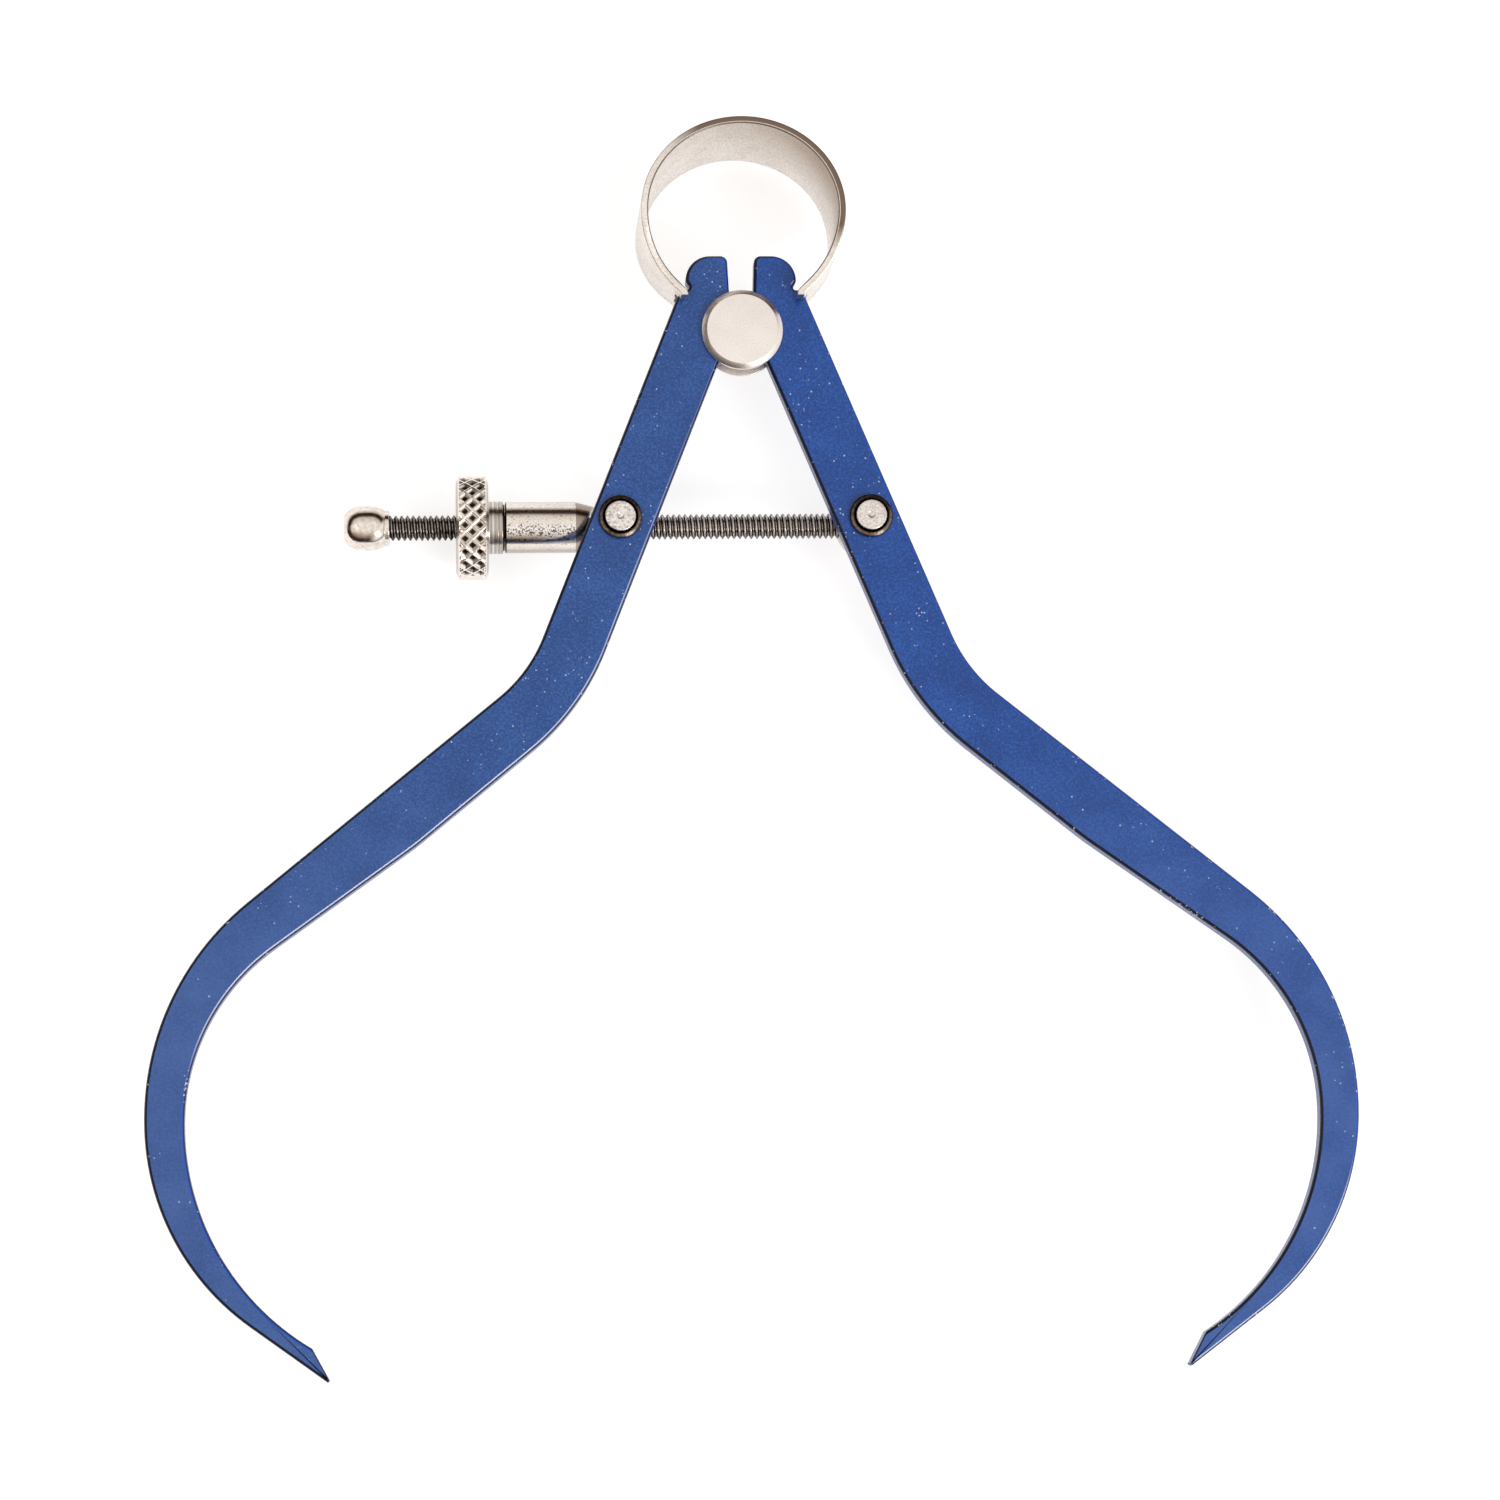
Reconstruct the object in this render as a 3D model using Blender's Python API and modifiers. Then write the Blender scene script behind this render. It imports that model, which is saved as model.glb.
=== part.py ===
"""Outside caliper with a spring bow, for measuring over round and flat work.

Two flat bowed legs hinge against a grooved roller. A tapered bow spring straddles their heads and
drives the points apart, and a knurled nut on a screw between two swivel posts holds them.
Lengths are in metres. The caliper lies on its back: X across, Y from the points to the bow, Z up.
"""

import math

import bmesh
import bpy
from mathutils import Matrix, Vector

# Fits
CLEARANCE = 0.0003

# Legs, drawn for the right side with the hinge axis at (0, 0)
LEG_THICKNESS = 0.0028
LEG_EDGE_BEVEL = 0.00038
LEG_WIDTH = 0.00854
LEG_SPLAY = math.radians(21.9)
HALF_GAP_AT_HINGE = 0.00157
HIP_DROP_OUTER = 0.04735
HIP_RADIUS_OUTER = 0.0205
HIP_DROP_INNER = 0.0524
HIP_RADIUS_INNER = 0.034
SHANK_TAPER_SPAN = 0.04515
SHANK_TAPER_DROP = 0.0708
SHANK_TAPER_RADIUS = 0.041
KNEE_SPAN = 0.0813
KNEE_WIDTH = 0.0053
KNEE_DROP_OUTER = 0.0892
KNEE_RADIUS_OUTER = 0.0367
KNEE_DROP_INNER = 0.09285
KNEE_RADIUS_INNER = 0.0284
ANKLE_DROP_OUTER = 0.1242
ANKLE_RADIUS_OUTER = 0.0337
ANKLE_DROP_INNER = 0.1270
ANKLE_RADIUS_INNER = 0.0347
POINT_SPAN = 0.0573
POINT_DROP = 0.1417
POINT_FLAT = (0.00025, 0.0003)
CONTACT_LENGTH = 0.00479
CONTACT_ANGLE = math.radians(61.3)

# Leg heads, inside the bow
SHOULDER_OVERRUN = 0.00024
HEAD_NOTCH_DEPTH = 0.0013
HEAD_NOTCH_RADIUS = 0.00045
LOBE_LEAN = 0.0003
LOBE_SPAN = 0.0076
LOBE_HEIGHT = 0.01065
LOBE_NOSE_RADIUS = 0.00095
LOBE_CROWN_RADIUS = 0.0034
LOBE_HEEL_HEIGHT = 0.0070
LOBE_HEEL_RADIUS = 0.0006

# Roller that the legs hinge against
ROLLER_CORE_RADIUS = 0.00295
ROLLER_RIM_RADIUS = 0.00559
ROLLER_FACE_RADIUS = 0.00487
ROLLER_FLANGE = 0.0010
ROLLER_CHAMFER_DEPTH = 0.0006

# Bow spring
BOW_OVERHANG = 0.00273
BOW_HALF_HEIGHT = 0.0126
BOW_CENTRE_HEIGHT = 0.0151
BOW_WRAP = math.radians(45)
BOW_THICKNESS = 0.0010
BOW_WIDTH = 0.0180
BOW_END_WIDTH = 0.0090
BOW_TAPER_TOP = 0.0153
BOW_TAPER_END = 0.0052
BOW_TAPER_RADIUS = 0.0100
HOOK_SEAT_RUN = 0.00105
HOOK_STRAIGHT = 0.0018
HOOK_RADIUS = 0.0009

# Swivel posts
POST_DROP = 0.02605
POST_SHIFT = 0.00049
POST_BODY_RADIUS = 0.0040
POST_STEM_RADIUS = 0.0016
POST_HEAD_RADIUS = 0.00208
POST_HEAD_PROUD = 0.0004
POST_WALL = 0.00095
POST_DIMPLE_RADIUS = 0.0005
POST_DIMPLE_DEPTH = 0.0003
WASHER_RADIUS = 0.00295
WASHER_THICKNESS = 0.0005

# Screw, its ball end, nut and sleeve
SCREW_RADIUS = 0.00175
SCREW_TAIL = 0.0004
SLEEVE_RADIUS = 0.0035
SLEEVE_LENGTH = 0.0122
SLEEVE_NOSE_RADIUS = 0.0028
SLEEVE_NOSE_LENGTH = 0.00266
SLEEVE_SADDLE_DEPTH = 0.00095
NUT_HUB_RADIUS = 0.0036
NUT_HUB_LENGTH = 0.00201
NUT_RADIUS = 0.0071
NUT_WIDTH = 0.0044
NUT_RIM = 0.0004
KNURL_DEPTH = 0.00045
KNURLS_AROUND = 22
KNURL_ROWS = 4
NUT_TRAVEL = 0.0091
BALL_RADIUS = 0.00305
BALL_LENGTH = 0.00615
BALL_FACE_RADIUS = 0.00176
BALL_COLLAR_RADIUS = 0.0024
BALL_COLLAR_LENGTH = 0.0006
BALL_FULLNESS = 2.6
BALL_BORE_DEPTH = 0.0042

# Fineness of curves
ARC_STEP = math.radians(6)
TURN_STEPS = 32

# Places that follow from the sizes
HALF_LEG = LEG_THICKNESS / 2
SPLAY_SLOPE = math.tan(LEG_SPLAY)
OUTER_AT_HINGE = HALF_GAP_AT_HINGE + LEG_WIDTH / math.cos(LEG_SPLAY)
SCREW_DEPTH = HALF_LEG + CLEARANCE + SLEEVE_RADIUS
BORE_RADIUS = SCREW_RADIUS + CLEARANCE
BOW_HALF_SPAN = OUTER_AT_HINGE + BOW_OVERHANG
POST_X = (HALF_GAP_AT_HINGE + OUTER_AT_HINGE) / 2 + SPLAY_SLOPE * POST_DROP + POST_SHIFT
SLEEVE_END = -(POST_X + POST_BODY_RADIUS + CLEARANCE - SLEEVE_SADDLE_DEPTH)
NUT_END = SLEEVE_END - SLEEVE_LENGTH - CLEARANCE
NUT_FACE = NUT_END - NUT_HUB_LENGTH - NUT_WIDTH
BALL_END = NUT_FACE - NUT_TRAVEL
BOW_TOP = BOW_CENTRE_HEIGHT + BOW_HALF_HEIGHT + BOW_THICKNESS / 2
HINGE = Vector((0, (POINT_DROP - BOW_TOP) / 2, SCREW_DEPTH + NUT_RADIUS))


def direction(angle):
    """Unit vector in the plane of the legs."""
    return Vector((math.cos(angle), math.sin(angle)))


def rounded_outline(corners):
    """Points of a closed polygon whose corners (place, radius) are filleted, fitted to its sides."""
    count = len(corners)
    places = [place for place, radius in corners]
    turns = []
    tangents = []
    for i, (place, radius) in enumerate(corners):
        arriving = (place - places[i - 1]).normalized()
        leaving = (places[(i + 1) % count] - place).normalized()
        turn = arriving.angle_signed(leaving, 0)
        turns.append((arriving, leaving, turn))
        tangents.append(radius * math.tan(abs(turn) / 2))
    points = []
    for i, (place, radius) in enumerate(corners):
        arriving, leaving, turn = turns[i]
        tangent = tangents[i]
        for other in (i - 1, (i + 1) % count):
            side = (places[other] - place).length
            both = tangents[i] + tangents[other]
            if both > side:
                tangent = min(tangent, tangents[i] * side / both)
        if tangent < 1e-7:
            points.append(place.copy())
            continue
        fitted = tangent / math.tan(abs(turn) / 2)
        sense = -math.copysign(1, turn)
        start = place - arriving * tangent
        centre = start + sense * fitted * Vector((-arriving.y, arriving.x))
        steps = max(2, round(abs(turn) / ARC_STEP))
        for step in range(steps + 1):
            swing = Matrix.Rotation(sense * abs(turn) * step / steps, 2)
            points.append(centre + swing @ (start - centre))
    return points


def bow_centreline():
    """Right half of the strip's centreline from the top of the bow to the tip of its hook.

    Returns the (place, heading) pairs and the place where the straight hook starts.
    """
    line = []
    steps = round((math.pi / 2 + BOW_WRAP) / ARC_STEP)
    for i in range(steps + 1):
        angle = math.pi / 2 - (math.pi / 2 + BOW_WRAP) * i / steps
        place = Vector((BOW_HALF_SPAN * math.cos(angle), BOW_HALF_HEIGHT * math.sin(angle)))
        heading = Vector((BOW_HALF_SPAN * math.sin(angle), -BOW_HALF_HEIGHT * math.cos(angle)))
        line.append((place + Vector((0, BOW_CENTRE_HEIGHT)), heading.normalized()))
    hook_start, heading = line[-1]
    bend = hook_start + heading * HOOK_STRAIGHT
    side = Vector((-heading.y, heading.x))
    pivot = bend + side * HOOK_RADIUS
    turn = heading.angle(Vector((0, -1)))
    for i in range(5):
        swing = Matrix.Rotation(turn * i / 4, 2)
        line.append((pivot - swing @ side * HOOK_RADIUS, swing @ heading))
    return line, hook_start, heading


def leg_outline():
    """Outline of the right leg, clockwise from its shoulder under the bow's hook."""
    line, hook_start, heading = bow_centreline()
    across = Vector((heading.y, -heading.x))
    seat = hook_start + heading * (HOOK_SEAT_RUN + CLEARANCE)
    shoulder = seat + across * (BOW_THICKNESS / 2 + SHOULDER_OVERRUN)
    # The shoulder line runs on until it meets the straight outer edge x = OUTER_AT_HINGE - slope y
    reach = OUTER_AT_HINGE - SPLAY_SLOPE * seat.y - seat.x
    reach /= -across.x - SPLAY_SLOPE * across.y
    edge = seat - across * reach
    notch = shoulder + Vector((-HEAD_NOTCH_DEPTH, 0))
    knee_inner = KNEE_SPAN - KNEE_WIDTH
    point = Vector((POINT_SPAN, -POINT_DROP))
    point_inner = point + Vector((-POINT_FLAT[0], POINT_FLAT[1]))
    outer = [
        (edge, 0),
        (Vector((OUTER_AT_HINGE + SPLAY_SLOPE * HIP_DROP_OUTER, -HIP_DROP_OUTER)), HIP_RADIUS_OUTER),
        (Vector((KNEE_SPAN, -KNEE_DROP_OUTER)), KNEE_RADIUS_OUTER),
        (Vector((KNEE_SPAN, -ANKLE_DROP_OUTER)), ANKLE_RADIUS_OUTER),
        (point, 0),
    ]
    inner = [
        (point_inner, 0),
        (point_inner + direction(CONTACT_ANGLE) * CONTACT_LENGTH, 0),
        (Vector((knee_inner, -ANKLE_DROP_INNER)), ANKLE_RADIUS_INNER),
        (Vector((knee_inner, -KNEE_DROP_INNER)), KNEE_RADIUS_INNER),
        (Vector((SHANK_TAPER_SPAN, -SHANK_TAPER_DROP)), SHANK_TAPER_RADIUS),
        (
            Vector((HALF_GAP_AT_HINGE + SPLAY_SLOPE * HIP_DROP_INNER, -HIP_DROP_INNER)),
            HIP_RADIUS_INNER,
        ),
    ]
    # Part-round seat that bears on the roller's core, from the sloping edge up to the upright one
    seat_radius = ROLLER_CORE_RADIUS + CLEARANCE
    foot = math.asin(HALF_GAP_AT_HINGE * math.cos(LEG_SPLAY) / seat_radius)
    low = -math.pi / 2 + LEG_SPLAY + foot
    high = math.acos(HALF_GAP_AT_HINGE / seat_radius)
    steps = max(4, round((high - low) / ARC_STEP / 1.5))
    hinge_seat = []
    for i in range(steps + 1):
        hinge_seat.append((direction(low + (high - low) * i / steps) * seat_radius, 0))
    lobe = [
        (Vector((HALF_GAP_AT_HINGE + LOBE_LEAN, LOBE_HEIGHT)), LOBE_NOSE_RADIUS),
        (Vector((LOBE_SPAN, LOBE_HEIGHT)), LOBE_CROWN_RADIUS),
        (Vector((LOBE_SPAN, LOBE_HEEL_HEIGHT)), LOBE_HEEL_RADIUS),
    ]
    shoulder_corners = [(notch, HEAD_NOTCH_RADIUS), (shoulder, 0)]
    return rounded_outline(outer + inner + hinge_seat + lobe + shoulder_corners)


def material(name, colour, roughness, metallic):
    """Principled material with one plain colour."""
    finish = bpy.data.materials.new(name)
    finish.use_nodes = True
    shader = finish.node_tree.nodes["Principled BSDF"]
    shader.inputs["Base Color"].default_value = (*colour, 1)
    shader.inputs["Roughness"].default_value = roughness
    shader.inputs["Metallic"].default_value = metallic
    return finish


def place(obj, parent, location=(0, 0, 0), collection=None):
    """Link an object to its collection and set it under its parent."""
    (collection or CALIPER).objects.link(obj)
    obj.parent = parent
    obj.location = location
    return obj


def pivot(name, parent, location):
    """Empty that carries pieces and stands on a joint's axis."""
    empty = bpy.data.objects.new(name, None)
    empty.empty_display_size = 0.006
    return place(empty, parent, location)


def evaluated_mesh(obj, name):
    """Mesh of an object as its modifiers leave it; the object itself is removed."""
    CUTTERS.objects.link(obj)
    bpy.context.view_layer.update()
    evaluated = obj.evaluated_get(bpy.context.evaluated_depsgraph_get())
    mesh = bpy.data.meshes.new_from_object(evaluated)
    mesh.name = name
    bpy.data.objects.remove(obj)
    return mesh


def flat_mesh(name, outline, thickness):
    """Plate of the given thickness about Z = 0, cut to a closed outline."""
    curve = bpy.data.curves.new(name + "_outline", "CURVE")
    curve.dimensions = "2D"
    curve.fill_mode = "BOTH"
    curve.extrude = thickness / 2
    spline = curve.splines.new("POLY")
    spline.points.add(len(outline) - 1)
    for point, corner in zip(spline.points, outline):
        point.co = (corner.x, corner.y, 0, 1)
    spline.use_cyclic_u = True
    mesh = evaluated_mesh(bpy.data.objects.new(name + "_outline", curve), name)
    bpy.data.curves.remove(curve)
    weld = bmesh.new()
    weld.from_mesh(mesh)
    bmesh.ops.remove_doubles(weld, verts=weld.verts, dist=1e-6)
    bmesh.ops.dissolve_limit(weld, angle_limit=0.002, verts=weld.verts, edges=weld.edges)
    bmesh.ops.recalc_face_normals(weld, faces=weld.faces)
    weld.to_mesh(mesh)
    weld.free()
    return mesh


def turned(name, profile, finish, closed=False, steps=TURN_STEPS):
    """Object turned about its own Z from (radius, height) points that run down its outer side."""
    mesh = bpy.data.meshes.new(name)
    vertices = [(radius, 0, height) for radius, height in profile]
    edges = [(i, i + 1) for i in range(len(profile) - 1)]
    if closed:
        edges.append((len(profile) - 1, 0))
    mesh.from_pydata(vertices, edges, [])
    mesh.materials.append(finish)
    obj = bpy.data.objects.new(name, mesh)
    screw = obj.modifiers.new("Turn", "SCREW")
    screw.axis = "Z"
    screw.steps = steps
    screw.render_steps = steps
    screw.use_merge_vertices = True
    screw.merge_threshold = 0.00001
    screw.use_smooth_shade = False
    return obj


def cutter(obj):
    """Mark an object as a tool that only cuts others."""
    obj.hide_render = True
    obj.display_type = "WIRE"
    return obj


def cut(obj, tool, label):
    """Take a cutter's form out of an object."""
    boolean = obj.modifiers.new(label, "BOOLEAN")
    boolean.operation = "DIFFERENCE"
    boolean.solver = "EXACT"
    boolean.object = tool
    return obj


def drill(name, radius, depth, parent, location, rotation=(0, 0, 0)):
    """Round cutter of the given depth, centred on its location."""
    shape = bmesh.new()
    bmesh.ops.create_cone(
        shape,
        cap_ends=True,
        segments=TURN_STEPS,
        radius1=radius,
        radius2=radius,
        depth=depth,
    )
    mesh = bpy.data.meshes.new(name)
    shape.to_mesh(mesh)
    shape.free()
    obj = cutter(bpy.data.objects.new(name, mesh))
    place(obj, parent, location, CUTTERS)
    obj.rotation_euler = rotation
    return obj


def block(name, size, parent, location, turn=0.0):
    """Box cutter turned about Z."""
    shape = bmesh.new()
    bmesh.ops.create_cube(shape, size=1, matrix=Matrix.Diagonal((*size, 1)))
    mesh = bpy.data.meshes.new(name)
    shape.to_mesh(mesh)
    shape.free()
    obj = cutter(bpy.data.objects.new(name, mesh))
    place(obj, parent, location, CUTTERS)
    obj.rotation_euler = (0, 0, turn)
    return obj


def build_leg(name, side, finish):
    """Flat leg with bevelled edges and a hole for its post; side is 1 for right, -1 for left."""
    outline = [Vector((side * corner.x, corner.y)) for corner in leg_outline()]
    mesh = flat_mesh(name, outline, LEG_THICKNESS)
    mesh.materials.append(finish)
    # The bevel runs out towards the point, whose end is narrower than two bevels
    shape = bmesh.new()
    shape.from_mesh(mesh)
    weights = shape.edges.layers.float.new("bevel_weight_edge")
    tip = Vector((side * POINT_SPAN, -POINT_DROP, 0))
    for edge in shape.edges:
        start, end = edge.verts
        if abs(start.co.z - end.co.z) > LEG_THICKNESS / 2:
            continue
        middle = (start.co + end.co) / 2
        distance = (Vector((middle.x, middle.y, 0)) - tip).length
        edge[weights] = min(1.0, max(0.0, distance / CONTACT_LENGTH - 0.3))
    shape.to_mesh(mesh)
    shape.free()
    leg = place(bpy.data.objects.new(name, mesh), ROOT)
    bevel = leg.modifiers.new("Edges", "BEVEL")
    bevel.limit_method = "WEIGHT"
    bevel.width = LEG_EDGE_BEVEL
    bevel.segments = 2
    bevel.use_clamp_overlap = False
    hole = drill(
        name + "_post_hole",
        POST_STEM_RADIUS + CLEARANCE,
        LEG_THICKNESS * 3,
        leg,
        (side * POST_X, -POST_DROP, 0),
    )
    return cut(leg, hole, "Post hole")


def build_roller(finish):
    """Roller with two flanges that keep the legs in plane."""
    flange_foot = HALF_LEG + CLEARANCE
    face = flange_foot + ROLLER_FLANGE
    rim = face - ROLLER_CHAMFER_DEPTH
    profile = [
        (0, face),
        (ROLLER_FACE_RADIUS, face),
        (ROLLER_RIM_RADIUS, rim),
        (ROLLER_RIM_RADIUS, flange_foot),
        (ROLLER_CORE_RADIUS, flange_foot),
        (ROLLER_CORE_RADIUS, -flange_foot),
        (ROLLER_RIM_RADIUS, -flange_foot),
        (ROLLER_RIM_RADIUS, -rim),
        (ROLLER_FACE_RADIUS, -face),
        (0, -face),
    ]
    return place(turned("fulcrum_roller", profile, finish, steps=48), ROOT)


def build_bow(finish):
    """Bow of spring strip, tapered towards two hooks that straddle the shoulders of the legs."""
    line, hook_start, heading = bow_centreline()
    half = BOW_THICKNESS / 2
    outside = []
    inside = []
    for spot, way in line:
        normal = Vector((-way.y, way.x))
        outside.append(spot + normal * half)
        inside.append(spot - normal * half)
    right = outside + inside[::-1]
    # The left half mirrors the right one, and both share the top of the bow
    left_outside = [Vector((-p.x, p.y)) for p in outside[:0:-1]]
    left_inside = [Vector((-p.x, p.y)) for p in inside[1:]]
    outline = right + left_inside + left_outside
    mesh = flat_mesh("bow_spring", outline, BOW_WIDTH)
    mesh.materials.append(finish)
    bow = place(bpy.data.objects.new("bow_spring", mesh), ROOT)
    wide = BOW_WIDTH / 2
    narrow = BOW_END_WIDTH / 2
    # The taper seen from the side, as (height, half width); the cutter starts just above the face
    start = BOW_TAPER_TOP + BOW_TAPER_RADIUS * 0.3
    for face in (1, -1):
        corners = [
            (Vector((start, face * (wide + 0.0001))), 0),
            (Vector((BOW_TAPER_TOP, face * (wide + 0.0001))), BOW_TAPER_RADIUS),
            (Vector((BOW_TAPER_END, face * narrow)), 0.002),
            (Vector((-0.002, face * narrow)), 0),
            (Vector((-0.002, face * (wide + 0.003))), 0),
            (Vector((start, face * (wide + 0.003))), 0),
        ]
        tool = flat_mesh("bow_taper_cutter", rounded_outline(corners), BOW_HALF_SPAN * 3)
        taper = cutter(bpy.data.objects.new("bow_taper_cutter", tool))
        place(taper, ROOT, (0, 0, 0), CUTTERS)
        taper.rotation_euler = Matrix(((0, 0, 1), (1, 0, 0), (0, 1, 0))).to_euler()
        cut(bow, taper, "Taper")
    slot_depth = 0.006
    for side in (1, -1):
        root = hook_start + heading * (HOOK_SEAT_RUN + slot_depth / 2)
        turn = math.atan2(heading.y, side * heading.x)
        slot = block(
            "bow_slot_cutter",
            (slot_depth, BOW_THICKNESS * 4, LEG_THICKNESS + CLEARANCE * 2),
            ROOT,
            (side * root.x, root.y, 0),
            turn,
        )
        cut(bow, slot, "Slot")
    return bow


def build_post(name, swivel, finish):
    """Swivel post: a drilled body behind the leg and a stem riveted over a washer in front."""
    washer_foot = HALF_LEG + CLEARANCE
    washer_top = washer_foot + WASHER_THICKNESS
    head_top = washer_top + POST_HEAD_PROUD
    body_top = -HALF_LEG - CLEARANCE
    body_end = -SCREW_DEPTH - BORE_RADIUS - POST_WALL
    profile = [
        (0, head_top - POST_DIMPLE_DEPTH),
        (POST_DIMPLE_RADIUS, head_top),
        (POST_HEAD_RADIUS - 0.0001, head_top),
        (POST_HEAD_RADIUS, washer_top),
        (POST_STEM_RADIUS, washer_foot),
        (POST_STEM_RADIUS, body_top),
        (POST_BODY_RADIUS - 0.0002, body_top),
        (POST_BODY_RADIUS, body_top - 0.0002),
        (POST_BODY_RADIUS, body_end + 0.0003),
        (POST_BODY_RADIUS - 0.0003, body_end),
        (0, body_end),
    ]
    post = place(turned(name, profile, finish), swivel)
    bore = drill(
        name + "_bore",
        BORE_RADIUS,
        POST_BODY_RADIUS * 3,
        swivel,
        (0, 0, -SCREW_DEPTH),
        (0, math.pi / 2, 0),
    )
    return cut(post, bore, "Cross bore")


def build_washer(name, swivel, finish):
    """Dished washer under the riveted head of a post."""
    foot = HALF_LEG + CLEARANCE
    top = foot + WASHER_THICKNESS
    profile = [
        (POST_HEAD_RADIUS + CLEARANCE, top),
        (WASHER_RADIUS - 0.0001, top),
        (WASHER_RADIUS, top - 0.0001),
        (WASHER_RADIUS, foot),
        (POST_STEM_RADIUS + CLEARANCE, foot),
    ]
    return place(turned(name, profile, finish, closed=True), swivel)


def lay_along_x(obj):
    """Turn a piece built along Z so that its top end points to +X."""
    obj.rotation_euler = (0, math.pi / 2, 0)
    return obj


def build_screw(swivel, finish):
    """Adjusting screw fixed in the right post and free in the left one."""
    tail = POST_BODY_RADIUS + SCREW_TAIL
    head = BALL_END - BALL_BORE_DEPTH + CLEARANCE - POST_X
    chamfer = SCREW_RADIUS / 4
    profile = [
        (0, tail),
        (SCREW_RADIUS - chamfer, tail),
        (SCREW_RADIUS, tail - chamfer),
        (SCREW_RADIUS, head + chamfer),
        (SCREW_RADIUS - chamfer, head),
        (0, head),
    ]
    screw = turned("adjusting_screw", profile, finish)
    return lay_along_x(place(screw, swivel, (0, 0, -SCREW_DEPTH)))


def build_ball(swivel, finish):
    """Barrel-shaped stop on the free end of the screw, with a collar on the nut's side."""
    profile = [
        (0, -BALL_BORE_DEPTH),
        (BORE_RADIUS, -BALL_BORE_DEPTH),
        (BORE_RADIUS, 0),
        (BALL_COLLAR_RADIUS, 0),
        (BALL_COLLAR_RADIUS, -BALL_COLLAR_LENGTH),
    ]
    # The barrel is a superellipse, cut off by the collar at one end and by a flat face at the other
    near = (1 - (BALL_COLLAR_RADIUS / BALL_RADIUS) ** BALL_FULLNESS) ** (1 / BALL_FULLNESS)
    far = (1 - (BALL_FACE_RADIUS / BALL_RADIUS) ** BALL_FULLNESS) ** (1 / BALL_FULLNESS)
    start = math.acos(near)
    end = math.acos(-far)
    half_length = (BALL_LENGTH - BALL_COLLAR_LENGTH) / (near + far)
    steps = 10
    for i in range(1, steps + 1):
        across = math.cos(start + (end - start) * i / steps)
        radius = BALL_RADIUS * (1 - abs(across) ** BALL_FULLNESS) ** (1 / BALL_FULLNESS)
        profile.append((radius, -BALL_COLLAR_LENGTH - half_length * (near - across)))
    profile.append((0, -BALL_LENGTH))
    ball = turned("screw_ball", profile, finish)
    return lay_along_x(place(ball, swivel, (BALL_END - POST_X, 0, -SCREW_DEPTH)))


def build_nut(swivel, finish):
    """Nut with a diamond-knurled disc and a plain hub."""
    base = NUT_RADIUS - KNURL_DEPTH
    disc = -NUT_HUB_LENGTH
    far = disc - NUT_WIDTH
    row_pitch = (NUT_WIDTH - NUT_RIM * 2) / KNURL_ROWS
    profile = [
        (BORE_RADIUS, 0),
        (NUT_HUB_RADIUS - 0.0002, 0),
        (NUT_HUB_RADIUS, -0.0002),
        (NUT_HUB_RADIUS, disc),
        (base - NUT_RIM, disc),
    ]
    for row in range(KNURL_ROWS + 1):
        profile.append((base, disc - NUT_RIM - row_pitch * row))
    profile.append((base - NUT_RIM, far))
    profile.append((BORE_RADIUS, far))
    blank = turned("nut_blank", profile, finish, closed=True, steps=KNURLS_AROUND * 2)
    mesh = evaluated_mesh(blank, "knurled_nut")
    # Every second corner of the band stands up as the peak of a diamond
    knurl = bmesh.new()
    knurl.from_mesh(mesh)
    peaks = set()
    for vertex in knurl.verts:
        row = round((disc - NUT_RIM - vertex.co.z) / row_pitch)
        step = round(math.atan2(vertex.co.y, vertex.co.x) * KNURLS_AROUND / math.pi)
        on_band = vertex.co.xy.length > base - NUT_RIM / 2
        if on_band and 0 < row < KNURL_ROWS and (row + step) % 2 == 0:
            vertex.co.xy *= NUT_RADIUS / vertex.co.xy.length
            peaks.add(vertex)
    for face in list(knurl.faces):
        if len(face.verts) == 4 and any(vertex in peaks for vertex in face.verts):
            first, second, third, fourth = face.verts
            valley = (second, fourth) if first in peaks or third in peaks else (first, third)
            bmesh.utils.face_split(face, valley[0], valley[1])
    knurl.to_mesh(mesh)
    knurl.free()
    nut = place(bpy.data.objects.new("knurled_nut", mesh), swivel, (NUT_END + POST_X, 0, -SCREW_DEPTH))
    return lay_along_x(nut)


def build_sleeve(swivel, finish):
    """Sleeve between the nut and the left post; its tapered nose saddles the post's body."""
    edge = 0.00015
    profile = [
        (BORE_RADIUS, 0),
        (SLEEVE_NOSE_RADIUS, 0),
        (SLEEVE_RADIUS, -SLEEVE_NOSE_LENGTH),
        (SLEEVE_RADIUS, edge - SLEEVE_LENGTH),
        (SLEEVE_RADIUS - edge, -SLEEVE_LENGTH),
        (BORE_RADIUS, -SLEEVE_LENGTH),
    ]
    sleeve = turned("nut_sleeve", profile, finish, closed=True)
    lay_along_x(place(sleeve, swivel, (SLEEVE_END + POST_X, 0, -SCREW_DEPTH)))
    saddle = drill(
        "sleeve_saddle",
        POST_BODY_RADIUS + CLEARANCE,
        SLEEVE_RADIUS * 3,
        swivel,
        (0, 0, -SCREW_DEPTH),
    )
    return cut(sleeve, saddle, "Saddle")


def shade_by_angle(objects):
    """Shade round forms smooth and keep real edges sharp."""
    for obj in objects:
        if obj.type == "MESH":
            obj.data.shade_smooth()
            obj.data.set_sharp_from_angle(angle=math.radians(35))


for old in list(bpy.data.objects):
    bpy.data.objects.remove(old)

CALIPER = bpy.data.collections.new("outside_caliper")
CUTTERS = bpy.data.collections.new("cutters")
bpy.context.scene.collection.children.link(CALIPER)
bpy.context.scene.collection.children.link(CUTTERS)

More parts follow.
